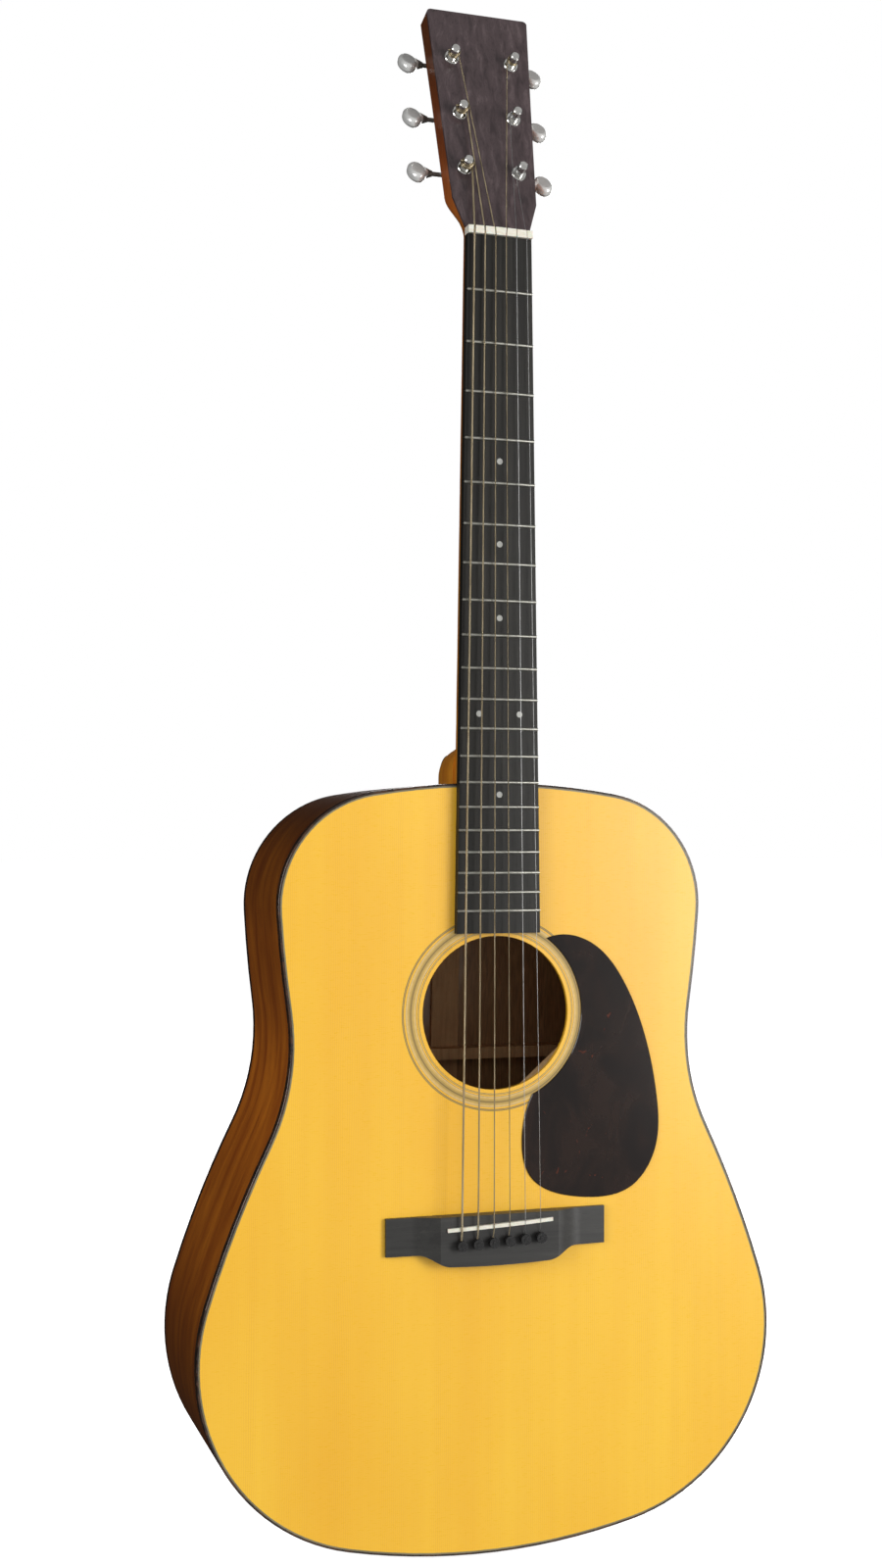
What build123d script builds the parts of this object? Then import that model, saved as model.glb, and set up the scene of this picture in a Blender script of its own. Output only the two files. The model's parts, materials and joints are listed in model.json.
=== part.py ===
from build123d import *
import math
import os

# Steel-string acoustic guitar, flat-top body with square shoulders. Millimetres.
# The origin is where the strap pin meets the tail. +Z runs up the neck, -Y is the
# front (the soundboard side) and +X is the treble side.

# Body
BODY_LENGTH = 508.0
BODY_DEPTH = 124.0            # deepest point, front face to back
TOP_Y = -BODY_DEPTH / 2       # front face of the soundboard
BACK_RADIUS = 4600.0          # spherical dome of the back
BACK_CENTRE_Z = 46.0          # height of the back's deepest point
TOP_THICKNESS = 2.9
BACK_THICKNESS = 2.8
SIDE_THICKNESS = 2.4
BINDING_WIDTH = 1.5
BINDING_HEIGHT = 6.0
BINDING_ROUND = 0.8           # rounding of the body's outer edges
PURFLING_WIDTH = 1.0
PURFLING_DEPTH = 1.3
LINING_WIDTH = 6.0
LINING_HEIGHT = 14.0
STRIP_HALF_WIDTH = 3.0        # centre strip between the two back plates
INNER_Y = TOP_Y + TOP_THICKNESS

# Outline of the treble half, tail to neck: radius of each arc and the direction of
# its outward normal where it ends, in degrees from straight down. The waist is hollow.
OUTLINE_ARCS = ((444.0, 13.0), (128.5, 107.5), (720.0, 116.1), (-145.0, 81.8), (850.0, 86.0))
SHOULDER_RADIUS = 75.0

# Soundhole and rosette
HOLE_Z = 356.3
HOLE_RADIUS = 50.8
ROSETTE_RINGS = ((53.2, 54.4), (55.2, 62.4), (63.5, 64.9))
ROSETTE_DEPTH = 1.0

# Neck, fingerboard and frets
SCALE_LENGTH = 645.2
FRET_COUNT = 20
BODY_FRET = 14
OCTAVE = 12
FINGERBOARD_RADIUS = 406.4
FINGERBOARD_THICKNESS = 6.35
FINGERBOARD_END_Z = 409.0
NUT_HALF_WIDTH = 22.2
OCTAVE_HALF_WIDTH = 27.0
NUT_THICKNESS = 5.0
NUT_HEIGHT = 8.9
NUT_Z = BODY_LENGTH + SCALE_LENGTH * (1 - 2 ** (-BODY_FRET / OCTAVE))
FRET_CROWN_WIDTH = 2.4
FRET_CROWN_HEIGHT = 1.1
FRET_TANG_WIDTH = 0.6
FRET_TANG_DEPTH = 1.8
DOT_RADIUS = 2.0
DOT_DEPTH = 1.2
SINGLE_DOT_FRETS = (5, 7, 9, 15)
DOUBLE_DOT_OFFSET = 14.0
SHAFT_DEPTH_NUT = 14.6
SHAFT_DEPTH_HEEL = 18.6
HEEL_CAP_THICKNESS = 2.0
# Heel: depth is measured back from the soundboard's face, reach outwards from the body
HEEL_ROOT_DEPTH = 10.0
HEEL_CAP_DEPTH = 98.5
HEEL_ROOT_HALF_WIDTH = 27.0
HEEL_CAP_HALF_WIDTH = 7.5
HEEL_NARROWING = 1.85         # above 1 the heel stays wide before it narrows to its cap
HEEL_CAP_REACH = 22.0
HEEL_TAPER = 0.10             # reach gained for each millimetre nearer the front
HEEL_SWEEP = 8.0              # extra reach where the heel flows into the shaft
HEEL_SWEEP_DEPTH = 6.0        # and the depth over which most of it fades
HEEL_FOOT = 4.0               # how far the heel starts inside the body's outline
HEEL_STEPS = 10
# the narrower ridge that rounds the corner between heel and shaft
RIDGE_HALF_WIDTH = 17.0
RIDGE_REACH = 16.0
RIDGE_FADE = 8.0
RIDGE_DEPTHS = (10.0, 14.0, 18.0, 22.0, 27.0, 33.0)
TENON_DEPTH = 72.0
TENON_REACH = 19.0
TENON_MOUTH = 13.0
TENON_TAIL = 18.0

# Headstock, in its own frame: s runs up its face, n stands out of its front face
HEAD_TILT = 15.0
HEAD_LENGTH = 164.2
HEAD_THICKNESS = 15.0
OVERLAY_THICKNESS = 1.6
HEAD_EDGE_ROUND = 2.2
HEAD_CORNER_RADIUS = 3.0
# distance up the face, half width
HEAD_WIDTHS = ((21.6, 29.3), (95.6, 32.5), (HEAD_LENGTH, 35.8))

# Truss rod
ROD_Y = TOP_Y + 8.0
ROD_RADIUS = 2.4
ROD_BORE_RADIUS = 2.6
ROD_TOP_Z = NUT_Z - 14.0
ROD_END_Z = 445.0
ROD_ANCHOR_RADIUS = 4.2
ROD_ANCHOR_LENGTH = 9.0
ROD_NUT_RADIUS = 4.4
ROD_NUT_LENGTH = 12.0
ROD_NUT_TOP_Z = 454.5
KEY_FLATS = 5.0
KEY_HOLE_RADIUS = 5.5

# Blocks inside the body
NECK_BLOCK_HALF_WIDTH = 38.0
NECK_BLOCK_Z = 455.0
TAIL_BLOCK_HALF_WIDTH = 45.0
TAIL_BLOCK_Z = 28.0
GRAFT_HALF_WIDTH = 9.0

# Bars under the soundboard and across the back
X_CROSSING_Z = 281.0
X_HALF_ANGLE = 49.0           # each leg of the X from the centre line, degrees
X_WIDTH = 8.0
X_HEIGHT = 15.0
X_REACH_UP = 200.0
X_REACH_DOWN = 270.0
TRANSVERSE_Z = 424.0
TRANSVERSE_WIDTH = 12.0
TRANSVERSE_HEIGHT = 14.0
TRANSVERSE_REACH = 160.0
TONE_BAR_WIDTH = 7.0
TONE_BAR_HEIGHT = 11.0
# each tone bar: distance along the treble leg where it starts, then x and z of its far end
TONE_BARS = ((140.0, -108.0, 104.0), (195.0, -60.0, 58.0))
FINGER_BAR_WIDTH = 5.0
FINGER_BAR_HEIGHT = 8.0
# each finger bar: distance along a lower leg where it starts, and its length
FINGER_BARS = ((75.0, 62.0), (135.0, 58.0))
HOLE_BAR_X = 61.0             # the flat bars beside the soundhole
HOLE_BAR_WIDTH = 12.0
HOLE_BAR_HEIGHT = 3.0
BACK_BRACE_HEIGHT = 15.0
BACK_BRACES = ((430.0, 8.0), (318.0, 8.0), (210.0, 14.0), (96.0, 14.0))
CENTRE_GRAFT_HALF_WIDTH = 10.0
CENTRE_GRAFT_THICKNESS = 2.4

# Bridge, saddle and pins
BRIDGE_HALF_LENGTH = 76.2
BRIDGE_TOP_Z = 225.2
BRIDGE_WING_Z = 200.4
BRIDGE_BELLY_Z = 191.7
BRIDGE_HEIGHT = 9.0
BRIDGE_WING_HEIGHT = 3.2
BRIDGE_SHOULDER = 55.0        # where the lower edge starts to drop to the belly
BRIDGE_BELLY = 34.0           # half width of the belly
BRIDGE_CREST = 41.0           # half width of the full-height middle
BRIDGE_SCOOP = 60.0           # where the scooped wings level out
BRIDGE_PLATE_THICKNESS = 2.5
SADDLE_MIDDLE_Z = 218.3
SADDLE_HALF_LENGTH = 36.5
SADDLE_SLANT = 2.6            # degrees, longer towards the bass side
SADDLE_THICKNESS = 2.4
SADDLE_HEIGHT = 12.0          # top of the saddle above the soundboard
SADDLE_SLOT_DEPTH = 5.0
PIN_MIDDLE_Z = 207.7
PIN_SLANT_RISE = 2.2          # bass pin to treble pin
PIN_RADIUS = 2.6
PIN_HOLE_RADIUS = 2.7
PIN_TIP_RADIUS = 2.2
PIN_LENGTH = 21.0
PIN_COLLAR_HEIGHT = 2.6
PIN_HEAD_RADIUS = 3.7
PIN_FLUTE_WIDTH = 1.7
PIN_FLUTE_OFFSET = 1.9        # centre of the string in the flute, from the pin's axis

# Strings, from string 1 (treble) to string 6 (bass)
STRING_DIAMETERS = (0.30, 0.41, 0.61, 0.81, 1.07, 1.35)
NUT_STRING_SPACING = 7.3
SADDLE_STRING_SPACING = 10.96
NUT_STRING_HEIGHT = 7.85      # underside of the strings at the nut, above the soundboard
BALL_RADIUS = 2.0
BALL_LENGTH = 3.6

# Tuners
POST_RADIUS = 3.175
POST_WAIST_RADIUS = 2.9
POST_TOP = 12.0               # above the wood of the headstock
POST_PLACES = ((44.2, 19.0), (85.8, 19.0), (128.0, 21.0))
BUSHING_RADIUS = 4.2
BUSHING_FLANGE = 5.2
BUSHING_FLANGE_HEIGHT = 1.1
BUSHING_LENGTH = 7.0
RUNNING_CLEARANCE = 0.1
PLATE_THICKNESS = 1.0
GEAR_TEETH = 14
GEAR_MODULE = 0.8
GEAR_THICKNESS = 3.0
GEAR_OFFSET = 4.5             # worm axis behind the plate
GEAR_PITCH_RADIUS = GEAR_TEETH * GEAR_MODULE / 2
WORM_PITCH_RADIUS = 2.4
WORM_LEAD = math.pi * GEAR_MODULE
ADDENDUM = 0.7
DEDENDUM = 0.8
FLANK = math.tan(math.radians(20))
THREAD_HALF = 0.42            # half thickness of the worm thread at the pitch line
GAP_HALF = 0.76               # half width of the gear's gaps at the pitch line
WORM_LENGTH = 7.2
WORM_SHAFT_RADIUS = 1.5
WORM_OFFSET = GEAR_PITCH_RADIUS + WORM_PITCH_RADIUS
WORM_N = -HEAD_THICKNESS - PLATE_THICKNESS - GEAR_OFFSET
EAR_INNER = 4.2
EAR_OUTER = 5.4
KNOB_CENTRE_X = 45.0
KNOB_HALF_LENGTH = 6.5
KNOB_HALF_HEIGHT = 9.7
KNOB_THICKNESS = 7.0
KNOB_ROUND = 2.8
KNOB_LEAN = 29.0              # how far each button stands turned from upright, degrees
COLLAR_LENGTH = 5.3           # the flared foot between shaft and button
COLLAR_NARROW = 2.0
COLLAR_WIDE = 4.0
SCREW_RADIUS = 1.0
SCREW_LENGTH = 8.0
SCREW_HEAD_RADIUS = 2.0
SCREW_HEAD_HEIGHT = 1.2
# screw places on a tuner plate: outwards from the post, up the headstock
PLATE_SCREWS = ((-5.0, 13.4), (6.0, -5.5))

# Strap pin and pickguard
END_PIN_SHANK = 3.6
END_PIN_HEAD_RADIUS = 6.25
END_PIN_WAIST = 3.8
END_PIN_LENGTH = 11.5
END_PIN_LAND = 3.0
PICKGUARD_THICKNESS = 1.0
PICKGUARD_BEVEL = 0.4
PICKGUARD_RING = 60.2         # its inner edge, from the soundhole's centre


# ---------------------------------------------------------------- helpers

def block(x0, x1, y0, y1, z0, z1):
    """A box between two corners."""
    size = (abs(x1 - x0), abs(y1 - y0), abs(z1 - z0))
    return Pos((x0 + x1) / 2, (y0 + y1) / 2, (z0 + z1) / 2) * Box(*size)


def rod(start, end, radius):
    """A cylinder from one point to another."""
    start = Vector(start)
    along = Vector(end) - start
    plane = Plane(origin=start, z_dir=along)
    return plane * Cylinder(radius, along.length, align=(Align.CENTER, Align.CENTER, Align.MIN))


def save(name, *shapes):
    """Write every solid of the shapes to parts/NAME.step."""
    solids = [solid for shape in shapes for solid in shape.solids()]
    export_step(Compound(children=solids), f"parts/{name}.step")


def crown(x):
    """How far the fingerboard's round surface falls away at x."""
    return FINGERBOARD_RADIUS - math.sqrt(FINGERBOARD_RADIUS ** 2 - x ** 2)


def crowned_volume(height):
    """Everything behind a surface with the fingerboard's radius, height above the soundboard."""
    axis_y = TOP_Y - height + FINGERBOARD_RADIUS
    return Pos(0, axis_y, BODY_LENGTH) * Cylinder(FINGERBOARD_RADIUS, 2 * BODY_LENGTH)


# ---------------------------------------------------------------- body outline

def outline_arcs():
    """Centre, radius and the two end angles of each arc of the treble half, tail to neck."""
    arcs = []
    x, z, start = 0.0, 0.0, 0.0
    for radius, end in OUTLINE_ARCS:
        cx = x - radius * math.sin(math.radians(start))
        cz = z + radius * math.cos(math.radians(start))
        arcs.append((cx, cz, radius, start, end))
        x = cx + radius * math.sin(math.radians(end))
        z = cz - radius * math.cos(math.radians(end))
        start = end
    # The shoulder arc, then the wide arc that closes the outline at the neck.
    cx = x - SHOULDER_RADIUS * math.sin(math.radians(start))
    cz = z + SHOULDER_RADIUS * math.cos(math.radians(start))
    below = cz - BODY_LENGTH
    wide = (cx ** 2 + below ** 2 - SHOULDER_RADIUS ** 2) / (-2 * (SHOULDER_RADIUS + below))
    end = math.degrees(math.atan2(cx, BODY_LENGTH - wide - cz))
    arcs.append((cx, cz, SHOULDER_RADIUS, start, end))
    arcs.append((0.0, BODY_LENGTH - wide, wide, end, 180.0))
    return arcs


def outline_face(inset, y):
    """The body's outline, moved in by inset, as a face at depth y."""
    edges = []
    for side in (1, -1):
        for cx, cz, radius, start, end in outline_arcs():
            points = []
            for angle in (start, (start + end) / 2, end):
                a = math.radians(angle)
                x = cx + (radius - inset) * math.sin(a)
                z = cz - (radius - inset) * math.cos(a)
                points.append((side * x, y, z))
            edges.append(ThreePointArc(*points))
    return Face(Wire(edges))


def slab(inset, y0, y1):
    """The outline, moved in by inset, as a plate from depth y0 to y1."""
    return extrude(outline_face(inset, y0), amount=y1 - y0, dir=(0, 1, 0))


def dome(drop):
    """The ball whose back surface lies drop inside the outer face of the back."""
    centre_y = TOP_Y + BODY_DEPTH - BACK_RADIUS
    return Pos(0, centre_y, BACK_CENTRE_Z) * Sphere(BACK_RADIUS - drop)


def mould(inset, y0, drop):
    """The space inside the outline from depth y0 back to the dome."""
    return slab(inset, y0, TOP_Y + BODY_DEPTH + 1) & dome(drop)


# ---------------------------------------------------------------- body

def binding_top():
    """The top binding, broken where the neck's tenon passes through."""
    outer = slab(0, TOP_Y, TOP_Y + BINDING_HEIGHT)
    outer = fillet(outer.edges().group_by(Axis.Y)[0], BINDING_ROUND)
    return outer - slab(BINDING_WIDTH, TOP_Y, TOP_Y + BINDING_HEIGHT) - tenon()


def binding_back():
    """The strip let into the edge between the sides and the back."""
    rim = slab(0, 0, TOP_Y + BODY_DEPTH + 1) - slab(BINDING_WIDTH, 0, TOP_Y + BODY_DEPTH + 1)
    return (rim & dome(0)) - dome(BINDING_HEIGHT)


def purfling():
    """The thin line inlaid beside the top binding."""
    outer = slab(BINDING_WIDTH, TOP_Y, TOP_Y + PURFLING_DEPTH)
    return outer - slab(BINDING_WIDTH + PURFLING_WIDTH, TOP_Y, TOP_Y + PURFLING_DEPTH)


def rosette():
    """The rings inlaid round the soundhole."""
    rings = []
    middle = Pos(0, TOP_Y + ROSETTE_DEPTH / 2, HOLE_Z) * Rot(90, 0, 0)
    for inner, outer in ROSETTE_RINGS:
        rings.append(middle * (Cylinder(outer, ROSETTE_DEPTH) - Cylinder(inner, ROSETTE_DEPTH)))
    return rings


def soundboard():
    """The top, with its soundhole, ring grooves and pin holes."""
    top = slab(BINDING_WIDTH, TOP_Y, INNER_Y) - purfling()
    top -= rod((0, TOP_Y - 1, HOLE_Z), (0, INNER_Y + 1, HOLE_Z), HOLE_RADIUS)
    for ring in rosette():
        top -= ring
    for x, z in pin_places():
        top -= rod((x, TOP_Y - 1, z), (x, INNER_Y + 1, z), PIN_HOLE_RADIUS)
    return top


def tenon():
    """The dovetail that holds the neck in its block."""
    z_face = BODY_LENGTH + 1
    z_tail = BODY_LENGTH - TENON_REACH
    points = ((-TENON_MOUTH, INNER_Y, z_face), (TENON_MOUTH, INNER_Y, z_face),
              (TENON_TAIL, INNER_Y, z_tail), (-TENON_TAIL, INNER_Y, z_tail))
    face = make_face(Polyline(*points, close=True))
    return extrude(face, amount=TENON_DEPTH, dir=(0, 1, 0))


def truss_bore(z0, z1, radius):
    """A straight round bar on the truss rod's axis."""
    return rod((0, ROD_Y, z0), (0, ROD_Y, z1), radius)


def neck_block():
    """The block that the dovetail fits, with the bore for the truss rod."""
    inside = mould(SIDE_THICKNESS, INNER_Y, BACK_THICKNESS)
    wood = inside & block(-NECK_BLOCK_HALF_WIDTH, NECK_BLOCK_HALF_WIDTH, TOP_Y, -TOP_Y,
                          NECK_BLOCK_Z, BODY_LENGTH)
    return wood - tenon() - truss_bore(NECK_BLOCK_Z - 1, BODY_LENGTH, ROD_BORE_RADIUS)


def tail_block():
    """The block behind the tail, bored for the strap pin."""
    inside = mould(SIDE_THICKNESS, INNER_Y, BACK_THICKNESS)
    wood = inside & block(-TAIL_BLOCK_HALF_WIDTH, TAIL_BLOCK_HALF_WIDTH, TOP_Y, -TOP_Y,
                          0, TAIL_BLOCK_Z)
    return wood - rod((0, 0, -1), (0, 0, TAIL_BLOCK_Z + 1), END_PIN_SHANK)


def rim():
    """The bent side all round, with its rebates for the bindings."""
    whole = mould(0, INNER_Y, BACK_THICKNESS) - slab(SIDE_THICKNESS, TOP_Y, -TOP_Y + 1)
    whole -= slab(0, TOP_Y, TOP_Y + BINDING_HEIGHT) - slab(BINDING_WIDTH, TOP_Y, TOP_Y + BINDING_HEIGHT)
    outside = slab(0, 0, -TOP_Y + 1) - slab(BINDING_WIDTH, 0, -TOP_Y + 1)
    return whole - (outside - dome(BINDING_HEIGHT))


def sides():
    """Bass side, treble side and the graft that joins them at the tail."""
    whole = rim()
    graft_space = block(-GRAFT_HALF_WIDTH, GRAFT_HALF_WIDTH, TOP_Y, -TOP_Y, -1, TAIL_BLOCK_Z)
    graft = (whole & graft_space) - rod((0, 0, -1), (0, 0, TAIL_BLOCK_Z), END_PIN_SHANK)
    whole = whole - graft_space - tenon()
    bass = whole & block(-BODY_LENGTH, 0, TOP_Y, -TOP_Y, -1, BODY_LENGTH + 1)
    treble = whole & block(0, BODY_LENGTH, TOP_Y, -TOP_Y, -1, BODY_LENGTH + 1)
    return bass, treble, graft


def linings():
    """The strips glued inside the sides, along the top and along the back."""
    straight_y = INNER_Y + LINING_HEIGHT / 3
    deep_y = INNER_Y + LINING_HEIGHT
    inner = slab(SIDE_THICKNESS + LINING_WIDTH, INNER_Y, straight_y)
    inner += loft([outline_face(SIDE_THICKNESS + LINING_WIDTH, straight_y),
                   outline_face(SIDE_THICKNESS + 1.5, deep_y)], ruled=True)
    top = slab(SIDE_THICKNESS, INNER_Y, deep_y) - inner
    strip = slab(SIDE_THICKNESS, 0, -TOP_Y) - slab(SIDE_THICKNESS + LINING_WIDTH, 0, -TOP_Y)
    back = (strip & dome(BACK_THICKNESS)) - dome(BACK_THICKNESS + LINING_HEIGHT)
    pieces = []
    for ring in (top, back):
        ring -= block(-NECK_BLOCK_HALF_WIDTH, NECK_BLOCK_HALF_WIDTH, TOP_Y, -TOP_Y,
                      NECK_BLOCK_Z, BODY_LENGTH)
        ring -= block(-TAIL_BLOCK_HALF_WIDTH, TAIL_BLOCK_HALF_WIDTH, TOP_Y, -TOP_Y, 0, TAIL_BLOCK_Z)
        pieces.append(ring)
    return pieces


def back():
    """The two book-matched plates and the strip between them."""
    shell = mould(BINDING_WIDTH, 0, 0) - dome(BACK_THICKNESS)
    middle = block(-STRIP_HALF_WIDTH, STRIP_HALF_WIDTH, TOP_Y, -TOP_Y, -1, BODY_LENGTH + 1)
    return shell - middle, shell & middle


# ---------------------------------------------------------------- braces

def brace(start, end, width, height, tip, ramp):
    """A bar under the soundboard between two (x, z) points, with sloping ends."""
    length = math.dist(start, end)
    across = Vector(end[0] - start[0], 0, end[1] - start[1]).normalized()
    plane = Plane(origin=(start[0], INNER_Y, start[1]), x_dir=across, z_dir=across.cross(Vector(0, 1, 0)))
    profile = ((0, 0), (length, 0), (length, tip), (length - ramp, height), (ramp, height), (0, tip))
    face = make_face(Polyline(*profile, close=True))
    return plane * extrude(face, amount=width / 2, both=True)


def inside_linings():
    """Everything within the linings, seen from the front."""
    return slab(SIDE_THICKNESS + LINING_WIDTH, TOP_Y, -TOP_Y)


def x_leg(side, reach_up, reach_down, width, height, tip, ramp):
    """One leg of the X; side 1 runs from the bass shoulder to the treble tail."""
    dx = math.sin(math.radians(X_HALF_ANGLE))
    dz = math.cos(math.radians(X_HALF_ANGLE))
    upper = (-side * reach_up * dx, X_CROSSING_Z + reach_up * dz)
    lower = (side * reach_down * dx, X_CROSSING_Z - reach_down * dz)
    return brace(upper, lower, width, height, tip, ramp)


def x_braces():
    """The two legs, halved into each other where they cross."""
    legs = [x_leg(side, X_REACH_UP, X_REACH_DOWN, X_WIDTH, X_HEIGHT, 4, 80) & inside_linings()
            for side in (1, -1)]
    crossing = [x_leg(side, 12, 12, X_WIDTH, X_HEIGHT, X_HEIGHT, 1) for side in (1, -1)]
    mid = INNER_Y + X_HEIGHT / 2
    front = block(-50, 50, TOP_Y, mid, X_CROSSING_Z - 50, X_CROSSING_Z + 50)
    rear = block(-50, 50, mid, -TOP_Y, X_CROSSING_Z - 50, X_CROSSING_Z + 50)
    return [legs[0] - (crossing[1] & rear), legs[1] - (crossing[0] & front)]


def leg_point(along, clear):
    """A point beside the treble lower leg: along it from the crossing, clear of its centre."""
    dx = math.sin(math.radians(X_HALF_ANGLE))
    dz = math.cos(math.radians(X_HALF_ANGLE))
    return along * dx + clear * dz, X_CROSSING_Z - along * dz + clear * dx


def tone_bars():
    """Two bars that slope from the treble leg across the lower bout."""
    clear = -X_WIDTH / 2 - TONE_BAR_WIDTH / 2
    return [brace(leg_point(along, clear), (x, z), TONE_BAR_WIDTH, TONE_BAR_HEIGHT, 3, 40)
            for along, x, z in TONE_BARS]


def finger_braces():
    """Two small bars from each lower leg to the side, and one bar each side of the soundhole."""
    bars = []
    clear = X_WIDTH / 2 + 0.5
    for along, length in FINGER_BARS:
        start_x, start_z = leg_point(along, clear)
        end_x, end_z = leg_point(along, clear + length)
        for side in (1, -1):
            bars.append(brace((side * start_x, start_z), (side * end_x, end_z),
                              FINGER_BAR_WIDTH, FINGER_BAR_HEIGHT, 2, 24))
    low = HOLE_Z - 3
    high = TRANSVERSE_Z - TRANSVERSE_WIDTH / 2 - 2
    for side in (1, -1):
        bars.append(brace((side * HOLE_BAR_X, low), (side * HOLE_BAR_X, high),
                          HOLE_BAR_WIDTH, HOLE_BAR_HEIGHT, HOLE_BAR_HEIGHT, 1))
    return bars


def transverse_brace():
    """The bar above the soundhole, with the hole that lets a key reach the rod's nut."""
    bar = brace((-TRANSVERSE_REACH, TRANSVERSE_Z), (TRANSVERSE_REACH, TRANSVERSE_Z),
                TRANSVERSE_WIDTH, TRANSVERSE_HEIGHT, 4, 60)
    bar = bar & inside_linings()
    return bar - truss_bore(TRANSVERSE_Z - 20, TRANSVERSE_Z + 20, KEY_HOLE_RADIUS)


def bridge_plate():
    """The plate under the bridge that holds the strings' ball ends."""
    points = ((-66, 190), (66, 190), (46, 226), (-46, 226))
    face = make_face(Polyline(*[(x, INNER_Y, z) for x, z in points], close=True))
    plate = extrude(face, amount=BRIDGE_PLATE_THICKNESS, dir=(0, 1, 0))
    for x, z in pin_places():
        plate -= rod((x, INNER_Y - 1, z), (x, INNER_Y + 5, z), PIN_HOLE_RADIUS)
    return plate


def back_braces():
    """Four bars across the back and the flat cleats over its centre joint."""
    inside = inside_linings() & dome(BACK_THICKNESS)
    bars = inside - dome(BACK_THICKNESS + BACK_BRACE_HEIGHT)
    cleat = inside - dome(BACK_THICKNESS + CENTRE_GRAFT_THICKNESS)
    cleat = cleat & block(-CENTRE_GRAFT_HALF_WIDTH, CENTRE_GRAFT_HALF_WIDTH, 0, -TOP_Y + 1,
                          TAIL_BLOCK_Z, NECK_BLOCK_Z)
    pieces = []
    for z, width in BACK_BRACES:
        space = block(-BODY_LENGTH, BODY_LENGTH, 0, -TOP_Y + 1, z - width / 2, z + width / 2)
        pieces.append(bars & space)
        cleat -= space
    return pieces + [cleat]


# ---------------------------------------------------------------- bridge, saddle, pins

def string_xs(spacing):
    """Where the strings cross, string 1 (treble) first."""
    return [spacing * (2.5 - index) for index in range(len(STRING_DIAMETERS))]


def pin_places():
    """Centres (x, z) of the bridge pins, string 1 first."""
    rise = PIN_SLANT_RISE / (5 * SADDLE_STRING_SPACING)
    return [(x, PIN_MIDDLE_Z + rise * x) for x in string_xs(SADDLE_STRING_SPACING)]


def saddle_z(x):
    """Height of the slanted saddle's centre line at x."""
    return SADDLE_MIDDLE_Z + x * math.tan(math.radians(SADDLE_SLANT))


def bridge_plan():
    """The bridge seen from the front: straight top edge and wings, a belly below the middle."""
    wing = BRIDGE_HALF_LENGTH
    shoulder = BRIDGE_SHOULDER
    belly = BRIDGE_BELLY
    sag = 0.9
    handle = 8.0
    slope = 2 * sag / belly
    edges = [ThreePointArc((-belly, 0, BRIDGE_BELLY_Z + sag), (0, 0, BRIDGE_BELLY_Z),
                           (belly, 0, BRIDGE_BELLY_Z + sag))]
    drop = ((shoulder, BRIDGE_WING_Z), (shoulder - handle, BRIDGE_WING_Z),
            (belly + handle, BRIDGE_BELLY_Z + sag + slope * handle), (belly, BRIDGE_BELLY_Z + sag))
    for side in (1, -1):
        edges.append(Bezier(*[(side * x, 0, z) for x, z in drop]))
    rest = Polyline((shoulder, 0, BRIDGE_WING_Z), (wing, 0, BRIDGE_WING_Z), (wing, 0, BRIDGE_TOP_Z),
                    (-wing, 0, BRIDGE_TOP_Z), (-wing, 0, BRIDGE_WING_Z), (-shoulder, 0, BRIDGE_WING_Z))
    face = make_face([edge.edge() for edge in edges] + [*rest.edges()])
    return Pos(0, TOP_Y, 0) * extrude(face, amount=30, dir=(0, -1, 0))


def bridge():
    """The bridge, thick in the middle and scooped to thin wings, with its slot and pin holes."""
    wing = BRIDGE_HALF_LENGTH
    full = TOP_Y - BRIDGE_HEIGHT
    thin = TOP_Y - BRIDGE_WING_HEIGHT
    crest = BRIDGE_CREST
    scoop_end = BRIDGE_SCOOP
    scoop_right = Spline((crest, full, 0), (0.5 * (crest + scoop_end), (full + thin) / 2 + 0.8, 0),
                         (scoop_end, thin, 0), tangents=((1, 0.25, 0), (1, 0, 0)))
    scoop_left = Spline((-scoop_end, thin, 0), (-0.5 * (crest + scoop_end), (full + thin) / 2 + 0.8, 0),
                        (-crest, full, 0), tangents=((1, 0, 0), (1, -0.25, 0)))
    flat = Polyline((scoop_end, thin, 0), (wing, thin + 0.6, 0), (wing, TOP_Y, 0), (-wing, TOP_Y, 0),
                    (-wing, thin + 0.6, 0), (-scoop_end, thin, 0))
    crest_line = Line((-crest, full, 0), (crest, full, 0))
    side_view = make_face([*scoop_right.edges(), *scoop_left.edges(), *flat.edges(), *crest_line.edges()])
    solid = bridge_plan() & extrude(side_view, amount=BODY_LENGTH, dir=(0, 0, 1))
    solid -= saddle_blank(SADDLE_SLOT_DEPTH)
    for x, z in pin_places():
        solid -= rod((x, TOP_Y - 20, z), (x, TOP_Y + 1, z), PIN_HOLE_RADIUS)
    return solid


def saddle_blank(height_in_slot):
    """The saddle before its top is shaped, from the bottom of its slot outwards."""
    bottom = TOP_Y - BRIDGE_HEIGHT + height_in_slot
    tall = BRIDGE_HEIGHT
    bar = Box(2 * SADDLE_HALF_LENGTH, tall, SADDLE_THICKNESS)
    return Pos(0, bottom - tall / 2, SADDLE_MIDDLE_Z) * Rot(0, -SADDLE_SLANT, 0) * bar


def saddle():
    """The saddle, its top curved like the fingerboard."""
    return saddle_blank(SADDLE_SLOT_DEPTH) & crowned_volume(SADDLE_HEIGHT)


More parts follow.
